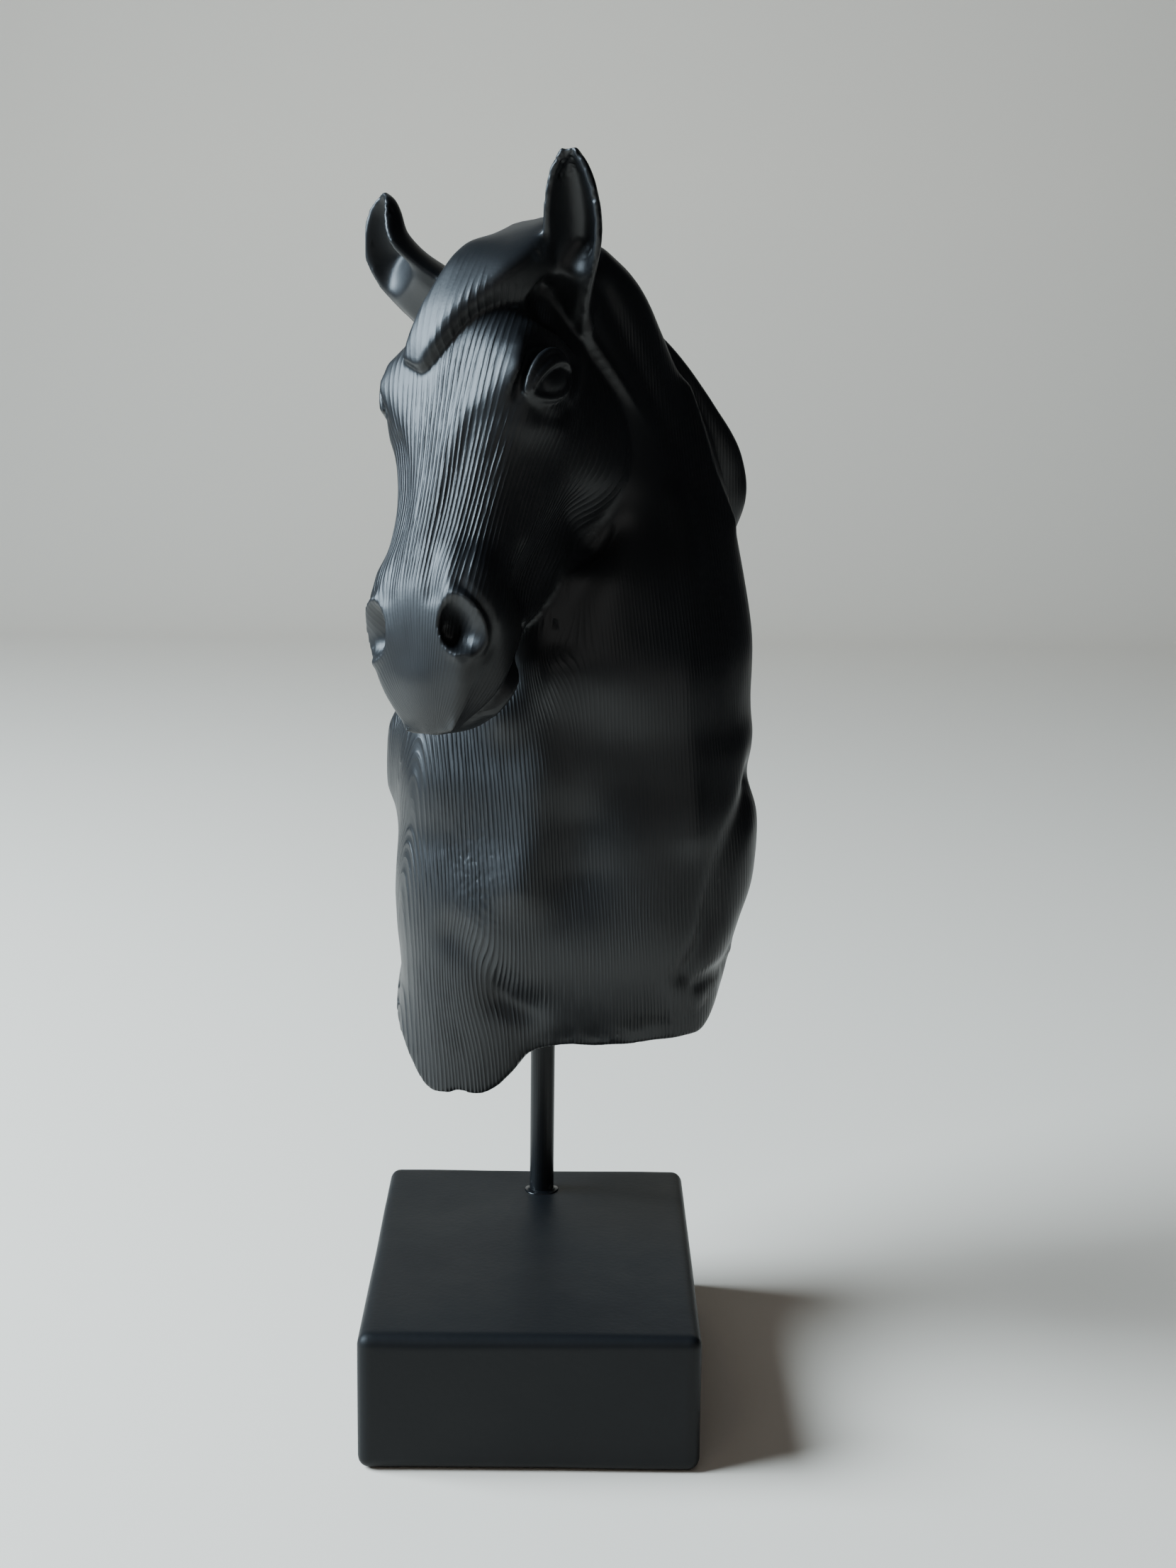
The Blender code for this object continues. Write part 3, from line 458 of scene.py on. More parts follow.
# Forms on both sides of the head that swell one way: their path and half width, and how far
# they move down the face, out of it and outward
HEAD_SWELLING = (
    ("front of the orbit", ((.365, -.035, .150), (.32, -.03, .158), (.265, -.045, .155)),
     .044, (0, .008, .008)),
    ("orbit", ((.36, -.09, .16), (.31, -.09, .165), (.25, -.10, .16)), .062, (0, .002, .020)),
    ("socket groove", ((.372, -.014, .19), (.335, -.012, .19), (.292, -.018, .19), (.264, -.030, .19),
                       (.237, -.060, .19), (.215, -.095, .19), (.212, -.124, .185), (.231, -.146, .18)),
     .0135, (0, -.006, -.036)),
    ("socket depth", ((.262, -.034, .19), (.238, -.062, .19), (.222, -.105, .185)), .016, (0, 0, -.016)),
)
# Carving along the middle of the head or on one side alone
MIDDLE_CARVING = (
    ("upper lip", ((.93, -.10, 0),), .055, .006),
    ("chin", ((.89, -.29, 0),), .05, .022),
    ("under the chin", ((.80, -.31, 0), (.72, -.33, 0)), .04, -.02),
    ("forehead", ((.2, .02, 0), (.3, .03, 0)), .06, .006),
    ("left nasal groove", ((.42, .0, .085), (.50, -.005, .058), (.57, -.007, .044), (.64, -.006, .036),
                           (.71, -.006, .040), (.775, -.006, .050)), .016, -.0055),
    ("left nasal vein", ((.42, -.02, .125), (.484, -.01, .098), (.543, -.01, .084), (.604, -.01, .076),
                         (.666, -.015, .076), (.728, -.02, .082), (.78, -.02, .090)), .011, .0035),
    ("right nasal groove", ((.44, -.003, -.10), (.50, -.005, -.08), (.57, -.007, -.065),
                            (.63, -.006, -.055), (.70, -.006, -.052), (.77, -.006, -.06)), .015, -.004),
)

# Carving on the body, in plan units
BODY_CARVING = (
    ("left shoulder", ((62, -6, 84), (62, -10, 64), (58, -10, 44)), 14, 2),
    ("left shoulder top", ((69, 8, 99), (66, -8, 98)), 8, -2),
    ("shoulder groove", ((63, -13, 99), (60, -22, 90), (56, -29, 80), (52.5, -33, 66), (51, -35, 56),
                         (48, -37, 48), (44, -38, 42)), 4.5, -2.6),
    ("shoulder lobe", ((62, -20, 82), (61, -22, 66), (58, -26, 54)), 8, 1.2),
    ("lower end of the lobe", ((61, -16, 39), (57, -27, 38), (50, -34, 37)), 4, -2.6),
    ("chest ridge", ((1, -42, 136), (0, -43, 115), (0, -43, 98), (-2, -45, 84), (-6, -46, 70)), 8, 3),
    ("right chest face", ((-20, -33, 122), (-20, -34, 98), (-26, -36, 80)), 14, -2.2),
    ("plane break", ((42, -8, 186), (45, -15, 172), (47, -26, 158), (47, -36, 140), (47, -39, 120),
                     (47, -40, 104), (46, -38, 86)), 6, 1.6),
    ("front of the neck", ((20, -38, 147), (21, -41, 125), (21, -40, 106)), 17, -1.8),
    ("jugular fossa", ((9, -42, 88), (10, -42, 76)), 12, -3.5),
    ("breast", ((-12, -46, 54), (18, -48, 47), (36, -44, 52)), 18, 2.6),
    ("leg groove", ((-28, -40, 53), (-22, -42, 48), (-16, -42, 41), (-10, -40, 33)), 6, -1.6),
    ("hollow between breast and leg", ((-12, -42, 34), (-5, -42, 30)), 6, -2.4),
    ("windpipe", ((8, -30, 160), (6, -36, 146)), 9, -2),
    ("right chest edge", ((-54, 3, 111), (-54, 3, 94)), 8, 4.6),
    ("right chest notch", ((-53, 2, 85),), 4.5, -1.4),
    ("throat", ((12, -22, 176), (26, 2, 176)), 10, -5),
    ("before the mane", ((43, 22, 219), (47, 17, 205), (51, 13, 192), (57, 13, 178)), 4.5, 2),
    ("withers", ((8, 50, 70), (16, 52, 110), (34, 52, 145), (50, 50, 172)), 12, 4),
    ("left blade", ((30, 50, 60), (32, 50, 100)), 16, -3),
    ("right blade", ((-26, 44, 60), (-20, 46, 104), (0, 48, 140)), 18, -4),
    ("right shoulder slope", ((-38, 0, 146), (-30, 30, 152)), 22, -8),
)

# What each direction counts for in a carving's distance: depth less than place
SIDEWAYS = np.array([1, 1, .4])
OUTWARD = np.array([1, .4, 1])
# Pieces of a path between two of its places, and how many half widths its carving reaches
PATH_STEPS = 6
BELL_REACH = 3.5
# Width, in head lengths, over which one side's carving gives way to the other's
MIDDLE_BLEND = .06


def spread(points, path):
    """Distance of each point from a smooth path through a few places."""
    path = np.array(path, float)
    if len(path) > 1:
        place = np.linspace(0, 1, len(path))
        path = through(np.column_stack([place, path]), np.linspace(0, 1, PATH_STEPS * len(path)))
    nearest = np.full(len(points), np.inf)
    for start, end in zip(path, np.roll(path, -1, 0)[:-1] if len(path) > 1 else path):
        edge = end - start
        along = np.clip((points - start) @ edge / max(edge @ edge, 1e-9), 0, 1)
        nearest = np.minimum(nearest, np.linalg.norm(points - start - along[:, None] * edge, axis=1))
    return nearest


def bell(points, path, width, weigh=1):
    """1 on the path, falling off like a bell over its half width, and 0 beyond its reach. A
    direction may be weighed less."""
    points, path = points * weigh, np.array(path) * weigh
    margin = BELL_REACH * width
    low, high = np.min(path, 0) - margin, np.max(path, 0) + margin
    near = np.all((points > low) & (points < high), axis=1)
    value = np.zeros(len(points))
    value[near] = np.exp(-(spread(points[near], path) / width) ** 2)
    return value


def carve(points, normals):
    """Moves the points of the cast skin along its normals for every line of carving, and in a
    form's own way for every swelling and both nostrils."""
    local = in_head(points)
    move = np.zeros(len(points))
    shift = np.zeros((len(points), 3))
    for side in (1, -1):
        mirrored = local * (1, 1, side)
        own_side = ease(mirrored[:, 2] / MIDDLE_BLEND + .5) * HEAD_LENGTH
        for _, path, width, height in HEAD_CARVING:
            move += bell(mirrored, path, width, SIDEWAYS) * height * own_side
        for _, path, width, way in HEAD_SWELLING:
            swell = bell(mirrored, path, width, SIDEWAYS) * own_side
            shift += swell[:, None] * (np.array(way) * (1, 1, side) @ head_axes())
        hollow, lip = nostril(mirrored)
        move += lip * HEAD_LENGTH
        shift += hollow * (1, 1, side) @ head_axes() * HEAD_LENGTH
    for _, path, width, height in MIDDLE_CARVING:
        move += bell(local, path, width, OUTWARD) * height * HEAD_LENGTH
    for _, path, width, height in BODY_CARVING:
        move += bell(points, path, width) * height
    return points + normals * move[:, None] + shift


# Where the casting is chipped or pitted: a path in plan units, its half width, the size of the
# chips and how deep they go
BREAKS = (
    (((5, -30, 293), (4, -27, 287)), 4.0, 2.2, 1.1),
    (((12, -33, 282), (13, -28, 270), (12, -22, 262)), 2.6, 2.6, .9),
    (((-2, -32, 276), (-3, -26, 262)), 2.2, 3.0, .6),
    (((-52, -10, 281), (-48, -13, 270)), 2.0, 2.4, .5),
    (((-52, -6, 28), (-50, -18, 12), (-42, -28, 0)), 6.0, 5.0, 1.1),
    (((-26, -40, 90), (-18, -42, 62)), 11.0, 1.3, .10),
)
# Unevenness of the hand all over, then the rough steps of the broken edge: depth, size, seed
HAND = ((.10, 15, 21), (.05, 6, 22))
ROUGH_EDGE = ((.8, 7.5, 1), (.15, 2.0, 2))
# Height over which the edge is rough, and the depths between which that fades out
LOOSE_EDGE = 5.0
ROUGH_FRONT = (10, -10)


def grit(points, size, seed):
    """Smooth random heights from -1 to 1: one for each corner of a lattice, eased between. A
    corner's height comes from its place, multiplied by large primes and folded."""
    cell = np.floor(points / size).astype(np.int64)
    p = points / size - cell
    p = p * p * (3 - 2 * p)
    total = np.zeros(len(points))
    for corner in np.ndindex(2, 2, 2):
        key = (cell + corner) @ np.array([73856093, 19349663, 83492791]) + seed * 7919
        key = (key ^ (key >> 9)) * 668265263 % 4294967291
        key = (key ^ (key >> 15)) * 374761393 % 4294967291
        total += (key % 20011 / 10005 - 1) * np.prod(np.where(corner, p, 1 - p), axis=1)
    return total


def wear(points):
    """How far each point sinks: a faint unevenness of the hand all over, rough steps near the
    lower edge where the casting broke off, and dents along the chipped places, each with dents
    of half its size and depth."""
    across = np.clip(points[:, 0], FOOT_LINE[0][0], FOOT_LINE[-1][0])
    level = points[:, 2] - through(FOOT_LINE, across)[:, 0]
    edge = np.exp(-(level / LOOSE_EDGE) ** 2) * fade(points[:, 1], *ROUGH_FRONT)
    sunk = sum(depth * grit(points, size, seed) for depth, size, seed in HAND)
    sunk += edge * sum(depth * np.abs(grit(points, size, seed)) for depth, size, seed in ROUGH_EDGE)
    for path, width, size, depth in BREAKS:
        dents = ease((grit(points, size, 11) - .05) / .5)
        dents += .5 * ease((grit(points, size / 2, 17) - .1) / .5)
        sunk += bell(points, path, width) * dents * depth
    return sunk


def mesh_of(name, verts, faces):
    """A new mesh of vertices and faces."""
    made = bpy.data.meshes.new(name)
    made.from_pydata(verts, [], faces)
    return made


def piece(name, data):
    """A new object in the scene; a mesh is smooth all over."""
    if isinstance(data, bpy.types.Mesh):
        data.polygons.foreach_set("use_smooth", np.ones(len(data.polygons), bool))
    made = bpy.data.objects.new(name, data)
    bpy.context.scene.collection.objects.link(made)
    return made


def modified(data, kind, **settings):
    """The mesh that one modifier makes of another, which is used up."""
    holder = piece(data.name, data)
    modifier = holder.modifiers.new(kind, kind)
    for name, value in settings.items():
        setattr(modifier, name, value)
    bpy.context.view_layer.update()
    made = bpy.data.meshes.new_from_object(holder.evaluated_get(bpy.context.evaluated_depsgraph_get()))
    bpy.data.objects.remove(holder)
    bpy.data.meshes.remove(data)
    return made


def cast(verts, faces, square):
    """One closed skin of even squares round shapes that overlap."""
    return modified(mesh_of("horse", verts, faces), "REMESH", mode="VOXEL", voxel_size=square)


def coordinates(mesh):
    """Points and normals of a mesh as arrays."""
    points = np.empty(len(mesh.vertices) * 3)
    normals = np.empty_like(points)
    mesh.vertices.foreach_get("co", points)
    mesh.vertex_normals.foreach_get("vector", normals)
    return points.reshape(-1, 3), normals.reshape(-1, 3)


def move_to(mesh, points):
    """Puts a mesh's points where the array says."""
    mesh.vertices.foreach_set("co", points.ravel())
    mesh.update()


def relax(mesh, points, rounds):
    """Each point moves halfway to the middle of its neighbours, a few times over."""
    ends = np.empty(len(mesh.edges) * 2, np.int64)
    mesh.edges.foreach_get("vertices", ends)
    one, other = ends.reshape(-1, 2).T
    count = np.bincount(ends, minlength=len(points))[:, None]
    for _ in range(rounds):
        total = np.stack([np.bincount(one, points[other, axis], len(points))
                          + np.bincount(other, points[one, axis], len(points))
                          for axis in range(3)], 1)
        points = points + (total / count - points) / 2
    return points


def joined(shapes):
    """Vertices and faces of several rings of shapes as one list."""
    verts, faces = [], []
    for v, f in shapes:
        faces += [[i + len(verts) for i in face] for face in f]
        verts += v.tolist()
    return verts, faces


def shape_of(mesh):
    """Vertices and faces of a mesh of four-cornered faces."""
    corners = np.empty(len(mesh.loops), np.int64)
    mesh.loops.foreach_get("vertex_index", corners)
    return coordinates(mesh)[0], corners.reshape(-1, 4).tolist()


# Sides of the squares of the cast skin, and of the last one, which takes in the eyes
SKIN = 0.95
FINE_SKIN = 0.6
SKIN_ROUNDS = 3
# The body is smoothed on its own, above its broken foot
BODY_ROUNDS = 60
FOOT_LEVEL = 26
FOOT_CLEAR = 42
MOST_TRIANGLES = 198000

bare = cast(*skin(body()), SKIN)
points = coordinates(bare)[0]
smoothed = relax(bare, points, BODY_ROUNDS)
move_to(bare, points + (smoothed - points) * fade(points[:, 2:], FOOT_LEVEL, FOOT_CLEAR))

forms = [head(), forelock(), mane()] + [ear(*one) for one in EARS]
made = cast(*joined([shape_of(bare)] + [skin(form) for form in forms]), SKIN)
move_to(made, relax(made, coordinates(made)[0], SKIN_ROUNDS))
move_to(made, carve(*coordinates(made)))

eyes = [skin(part) for side in (1, -1) for part in eye_parts(side)]
made = cast(*joined([shape_of(made)] + eyes), FINE_SKIN)
move_to(made, relax(made, coordinates(made)[0], SKIN_ROUNDS))
points, normals = coordinates(made)
move_to(made, points - normals * wear(points)[:, None])

triangles = sum(len(face.vertices) - 2 for face in made.polygons)
made = modified(made, "DECIMATE", ratio=MOST_TRIANGLES / triangles, use_collapse_triangulate=True)
horse = piece("horse_figure", made)
points = coordinates(made)[0]
move_to(made, np.clip((points + ROD_AXIS) * MM, *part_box("horse")))


# Where the grain bends round a knot: x, y, z in plan units, half height, half width, and how
# far it is pushed aside
KNOTS = ((-44, -14, 103, 20, 7, 9), (-46, -8, 70, 26, 8, 10), (2, -38, 142, 17, 8, 7),
         (33, -38, 58, 22, 10, 4), (-22, -38, 40, 20, 9, 5))
# How far the body's lines step with x, y and z
LEAN = (.98, .16, .05)
# Half the head's width as the grain sees it: place down the face, half width in head lengths
GRAIN_WIDTH = ((0, .200), (.33, .166), (.6, .138), (.75, .124), (1, .110))
# The head's lines stand an angle apart about a core. It lies this deep under the face in head
# lengths, they end this far below it, and this radius in millimetres makes the angle a width.
CORE_DEPTH = .17
CORE_END = -.3
CORE_RADIUS = 19.0
# The head's grain reaches this many half sections out from its middle, and from here to there
# down the face
HEAD_REACH = 1.425
HEAD_TOP = -.01
HEAD_END = 1.04
# Seams, worked smooth: their strength and widths, also round an ear and along the arch
SEAM = 1.5
REACH_SEAM = .12
TOP_SEAM = .035
EAR_SEAM = (1.4, 11)
ARCH_SEAM = (((.24, -.19, .165), (.13, -.20, .15), (.05, -.20, .13)), .03, 1.2)
# Where the head was brushed smooth, round the eye and on the temple: a path, its half width,
# and how much of the grain is gone
SMOOTH_ON_HEAD = (
    (((.36, -.03, .16), (.30, -.04, .16), (.25, -.08, .16)), .048, 1.3),
    (((.05, -.12, .125), (.12, -.08, .125), (.17, -.13, .15), (.20, -.20, .1625)), .062, .9),
)
# The same for the hair, for the muzzle and the cheeks, each from and to, and for the throat
HAIR_SMOOTH = (.062, .93)
MUZZLE_SMOOTH = (.68, .80, .85)
CHEEK_SMOOTH = (-.20, -.30, .6)
THROAT_SMOOTH = (((14, -32, 158), (26, -22, 172)), 14, .85)
# Where the body's front, its right face and its foot begin and are reached, in y, x and z, and
# where the lines end under the head
FRONT = (14, -6)
RIGHT_FACE = (6, -8)
FRONT_FOOT = (95, 65)
NECK_END = (250, 236)
# How deep the body's lines are all over, what the right face adds, and the foot of the front
BODY_CUT, RIGHT_CUT, FOOT_CUT = .26, .7, .2


def head_grain(local):
    """Where points of the head lie across and along the grain, in millimetres, and how deep it
    is cut there. Across is the angle about the core, so the lines draw together at the muzzle."""
    down, out, left = local.T
    wide = through(GRAIN_WIDTH, np.clip(down, 0, 1))[:, 0]
    high = np.maximum(out + CORE_DEPTH, CORE_END) / CORE_DEPTH
    across = np.arctan2(left / wide, high) * CORE_RADIUS
    width, share = HAIR_SMOOTH
    cut = 1 - share * bell(local, np.array(FORELOCK)[:, 1:4], width, OUTWARD)
    start, end, share = MUZZLE_SMOOTH
    cut *= 1 - share * fade(down, start, end)
    for side in (1, -1):
        for path, width, share in SMOOTH_ON_HEAD:
            brushed = share * bell(local * (1, 1, side), path, width, SIDEWAYS)
            cut *= 1 - np.clip(brushed, 0, 1)
        start, end, share = CHEEK_SMOOTH
        cut *= 1 - share * fade(out, start, end) * fade(left * side, 0, .04)
    return across, down * HEAD_LENGTH, cut


def body_grain(points):
    """The same for the body. Its lines stand upright and are pushed aside round each knot, most
    in its middle. They are deepest on the front's right face."""
    x, y, z = points.T
    across = points @ LEAN
    for kx, ky, kz, tall, wide, push in KNOTS:
        away = np.hypot(x - kx, y - ky) / wide
        across += push * np.exp(-away**2 - ((z - kz) / tall) ** 2)
    front = fade(y, *FRONT)
    right_face = fade(x, *RIGHT_FACE)
    foot = front * (1 - right_face) * fade(z, *FRONT_FOOT)
    cut = BODY_CUT + RIGHT_CUT * right_face * front + FOOT_CUT * foot
    path, width, share = THROAT_SMOOTH
    cut *= (1 - share * bell(points, path, width)) * fade(z, *NECK_END)
    return across, z, cut


def grain_ways(points):
    """The head's grain where a point is of the head, and the body's elsewhere, fading out along
    the seam between them, round the ears and on the arches behind the eyes."""
    local = in_head(points)
    down, out, left = local.T
    width, face, under = (
        through(line, np.clip(down, 0, 1))[:, 0] for line in (SIDE_WIDTH, FACE_LINE, UNDER_LINE))
    from_core = np.hypot(left / width, (out - (face + under) / 2) / ((face - under) / 2))
    of_head = (from_core < HEAD_REACH) & (down > HEAD_TOP) & (down < HEAD_END)
    seam = SEAM * np.exp(-((from_core - HEAD_REACH) / REACH_SEAM) ** 2)
    seam += SEAM * np.exp(-((down - HEAD_TOP) / TOP_SEAM) ** 2)
    strength, width = EAR_SEAM
    for base, bend, tip, *_ in EARS:
        seam += strength * bell(points, (base, bend, tip), width)
    path, width, strength = ARCH_SEAM
    for side in (1, -1):
        seam += strength * bell(local * (1, 1, side), path, width, SIDEWAYS)
    across, along, cut = np.where(of_head, head_grain(local), body_grain(points))
    return np.stack([across, along, cut * (1 - np.clip(seam, 0, 1))], 1)


flow = made.attributes.new("grain_way", "FLOAT_VECTOR", "POINT")
flow.data.foreach_set("vector", grain_ways(points).ravel())


def linear(colour):
    """An sRGB hex colour as linear red, green, blue and 1."""
    parts = np.array([int(colour[i:i + 2], 16) / 255 for i in (1, 3, 5)])
    return (*np.where(parts <= .04045, parts / 12.92, ((parts + .055) / 1.055) ** 2.4).tolist(), 1)


def fill(made, inputs):
    """Fills a node's inputs, by name or in order. Each is a value, an output, or another node,
    whose first output is meant."""
    for name, value in inputs.items() if isinstance(inputs, dict) else enumerate(inputs):
        value = value.outputs[0] if isinstance(value, bpy.types.Node) else value
        if isinstance(value, bpy.types.NodeSocket):
            made.id_data.links.new(value, made.inputs[name])
        else:
            made.inputs[name].default_value = value


def node(tree, kind, inputs=(), **settings):
    """Adds a node with its inputs; settings are its attributes."""
    made = tree.nodes.new("ShaderNode" + kind)
    for name, value in settings.items():
        setattr(made, name, value)
    fill(made, inputs)
    return made


def finish_of(name, colour, roughness, specular=.5):
    """A new material of one colour, roughness and shine, its node tree and its shader."""
    made = bpy.data.materials.new(name)
    made.use_nodes = True
    shader = made.node_tree.nodes["Principled BSDF"]
    fill(shader, {"Base Color": linear(colour), "Roughness": roughness, "Specular IOR Level": specular})
    return made, made.node_tree, shader


def per_metre(size):
    """The scale of a pattern on Object coordinates, from its size in millimetres."""
    return 1 / (size * MM)


# Satin black resin as it comes out of a rubber mould. The raised lines catch a narrow grey sheen
# along the grain, broken by duller streaks and worn patches; the skin between them is dull.
# In millimetres, from line to line and how high they stand; then how narrow their tops are
GRAIN_PITCH = 1.12
GRAIN_DEPTH = .30
LINE_POWER = 1.8
# Steps per millimetre across and along the grain: the lines sway over 6 by 83 mm and shiver over
# 2 by 25 mm, and streaks of 0.7 by 11 mm break them
SWAY, SWAY_WIDTH = (.16, .012, 0), 1.6
SHIVER, SHIVER_WIDTH = (.55, .04, 0), .35
STREAK = (1.5, .09, 0)
# What is left of the lines in the streaks and in the worn patches: from and to, in the noise
# and then in depth
STREAK_RANGE = (.36, .66, .4, 1.2)
PATCH_RANGE = (.35, .6, .55, 1.0)
# Worn patches and pores, in millimetres, and the pores' share of the grain's depth. Real pores
# are finer; these are as coarse as they need to be to show.
WORN_PATCH = 18.18
PORE = 1.111
PORE_SHARE = .09
RESIN_ROUGHNESS, PATCH_ROUGHNESS = .34, .14

resin, tree, shader = finish_of("satin black casting resin", "#141517", RESIN_ROUGHNESS, .45)
way = node(tree, "Attribute", attribute_name="grain_way").outputs["Vector"]
sideways, lengthways, depth = node(tree, "SeparateXYZ", [way]).outputs
place_of = node(tree, "TexCoord").outputs["Object"]
stretched = node(tree, "VectorMath", [way, SWAY], operation="MULTIPLY")
sway = node(tree, "TexNoise", {"Vector": stretched, "Scale": 1.0, "Detail": 1.0})
shorter = node(tree, "VectorMath", [way, SHIVER], operation="MULTIPLY")
shiver = node(tree, "TexNoise", {"Vector": shorter, "Scale": 1.0, "Detail": 1.0})
swayed = node(tree, "Math", [sway, SWAY_WIDTH, sideways], operation="MULTIPLY_ADD")
wander = node(tree, "Math", [shiver, SHIVER_WIDTH, swayed], operation="MULTIPLY_ADD")
phase = node(tree, "Math", [wander, 2 * np.pi / GRAIN_PITCH], operation="MULTIPLY")
wave = node(tree, "Math", [phase], operation="SINE")
raised = node(tree, "Math", [wave, .5, .5], operation="MULTIPLY_ADD")
line = node(tree, "Math", [raised, LINE_POWER], operation="POWER")
beside = node(tree, "CombineXYZ", [wander, lengthways])
thin = node(tree, "VectorMath", [beside, STREAK], operation="MULTIPLY")
streak = node(tree, "TexNoise", {"Vector": thin, "Scale": 1.0, "Detail": 4.0})
uneven = node(tree, "MapRange", [streak, *STREAK_RANGE])
patchy = node(tree, "TexNoise", {"Vector": place_of, "Scale": per_metre(WORN_PATCH), "Detail": 2.0})
worn = node(tree, "MapRange", [patchy, *PATCH_RANGE])
ridge = line
for share in (uneven, worn, depth):
    ridge = node(tree, "Math", [ridge, share], operation="MULTIPLY")
pores = node(tree, "TexNoise", {"Vector": place_of, "Scale": per_metre(PORE), "Detail": 3.0})
height = node(tree, "Math", [pores, PORE_SHARE, ridge], operation="MULTIPLY_ADD")
bump = node(tree, "Bump", {"Height": height, "Distance": GRAIN_DEPTH * MM, "Strength": 1.0})
dull = node(tree, "Math", [patchy, PATCH_ROUGHNESS, RESIN_ROUGHNESS], operation="MULTIPLY_ADD")
fill(shader, {"Normal": bump, "Roughness": dull})
made.materials.append(resin)
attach(horse, "root")
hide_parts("horse")

# Rod
# A round steel bar lacquered black, glued into a hole in the block and into one in the horse.
# Near its foot the lacquer is chipped.
ROD_RADIUS = 4.0
# In millimetres: marks of the drawing die, coarser than real ones so that they show, chips, and
# the heights between which those begin. Then how rare they are.
DRAWN = np.array([1.429, 1.429, 16.67])
DRAWN_DEPTH = .06
CHIP = 2.381
CHIPS_FROM, CHIPS_FULL = 62, 46
CHIP_RANGE = (.60, .66, 0.0, 1.0)

# Black lacquered steel: a dull shine drawn out along the bar, and grey specks of bare metal.
steel, tree, shader = finish_of("black lacquered steel", "#121315", .34, .25)
place_of = node(tree, "TexCoord").outputs["Object"]
drawn = node(tree, "Mapping", {"Vector": place_of, "Scale": per_metre(DRAWN)})
brushed = node(tree, "TexNoise", {"Vector": drawn, "Scale": 1.0, "Detail": 3.0})
bump = node(tree, "Bump", {"Height": brushed, "Distance": DRAWN_DEPTH * MM, "Strength": 1.0})
chips = node(tree, "TexNoise", {"Vector": place_of, "Scale": per_metre(CHIP), "Detail": 2.0})
low = node(tree, "SeparateXYZ", [place_of]).outputs["Z"]
near_foot = node(tree, "MapRange", [low, CHIPS_FROM * MM, CHIPS_FULL * MM, 0.0, 1.0])
likely = node(tree, "Math", [chips, near_foot], operation="MULTIPLY")
chipped = node(tree, "MapRange", [likely, *CHIP_RANGE])
paint = node(tree, "Mix", {"Factor": chipped, "A": linear("#121315"), "B": linear("#3b3c3c")},
             data_type="RGBA")
fill(shader, {"Normal": bump, "Base Color": paint.outputs["Result"]})
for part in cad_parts["rod"].material_slots:
    part.link = "OBJECT"
    part.material = steel

# Ring at the rod's foot
# Glue and lacquer that were left round the rod where it enters the block, in one uneven bead
# laid with a brush.
BLOCK_TOP = 42.0
RING_STEPS = 96
# How the ring waves: its share, how often, where it starts. Then how far each of its edges stands
# out from the rod, and its height over the block.
RING_WAVES = ((.10, 2, 1), (.06, 5, 0))
RING = ((-.2, -.6), (-.2, .75), (.25, .55), (.7, .22), (1.25, .10), (1.5, -.05), (1.5, -.6))

turn = np.linspace(0, 2 * np.pi, RING_STEPS, endpoint=False)
uneven = 1 + sum(share * np.sin(turn * times + start) for share, times, start in RING_WAVES)
radius = [ROD_RADIUS + reach * uneven for reach, height in RING]
rings = np.stack([np.stack([r * np.cos(turn), r * np.sin(turn), np.full_like(turn, height)], 1)
                  for r, (reach, height) in zip(radius, RING)])
verts, faces = skin(rings + np.array([*ROD_AXIS[:2], BLOCK_TOP]))
ring = piece("rod_foot_ring", mesh_of("rod_foot_ring", verts * MM, faces))
# Thick black lacquer: a small wet glint round the rod.
ring.data.materials.append(finish_of("thick black lacquer", "#0e0f11", .22)[0])
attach(ring, "root")

# Plinth
# A block of wood, sanded round along its edges, filled and painted in matt black by hand. It
# stands loose, and the rod is glued into it.
BLOCK = np.array([100.0, 138.0, BLOCK_TOP])
BLOCK_EDGE = 3.6
BLOCK_ROWS = 60
# The power that draws the net's rows together near the edges
ROWS_POWER = 1.5
# How the edge's radius wavers: its share, over what size, seed. Then how far the faces sag
# within this distance of them: depth, size, seed.
EDGE_WAVER = (.22, 34, 5)
SAG = ((.28, 46, 9), (.05, 9, 3))
SAG_REACH = 6


def block():
    """A box whose every face is a net of squares: each point is drawn towards a smaller box
    inside until it lies one edge radius away. The radius and the faces waver a little."""
    side = np.linspace(-1, 1, BLOCK_ROWS)
    side = np.sign(side) * (1 - (1 - np.abs(side)) ** ROWS_POWER)
    one, other = (net.ravel() for net in np.meshgrid(side, side, indexing="ij"))
    row = np.arange(BLOCK_ROWS - 1)
    corner = (row[:, None] * BLOCK_ROWS + row[None, :]).ravel()
    square = np.stack([corner, corner + BLOCK_ROWS, corner + BLOCK_ROWS + 1, corner + 1], 1)
    verts, faces = [], []
    for axis in range(3):
        for way in (-1, 1):
            face = np.empty((len(one), 3))
            face[:, axis] = way
            face[:, (axis + 1) % 3], face[:, (axis + 2) % 3] = one, other
            faces.append((square if way > 0 else square[:, ::-1]) + len(verts) * len(one))
            verts.append(face)
    points = np.concatenate(verts) * BLOCK / 2
    share, size, seed = EDGE_WAVER
    radius = BLOCK_EDGE * (1 + share * grit(points, size, seed))[:, None]
    core = np.clip(points, radius - BLOCK / 2, BLOCK / 2 - radius)
    points = core + radius * unit(points - core)
    sag = sum(depth * (1 + grit(points, size, seed)) / 2 for depth, size, seed in SAG)
    at_face = np.abs(points) > BLOCK / 2 - SAG_REACH
    return points - sag[:, None] * np.sign(points) * at_face, np.concatenate(faces)


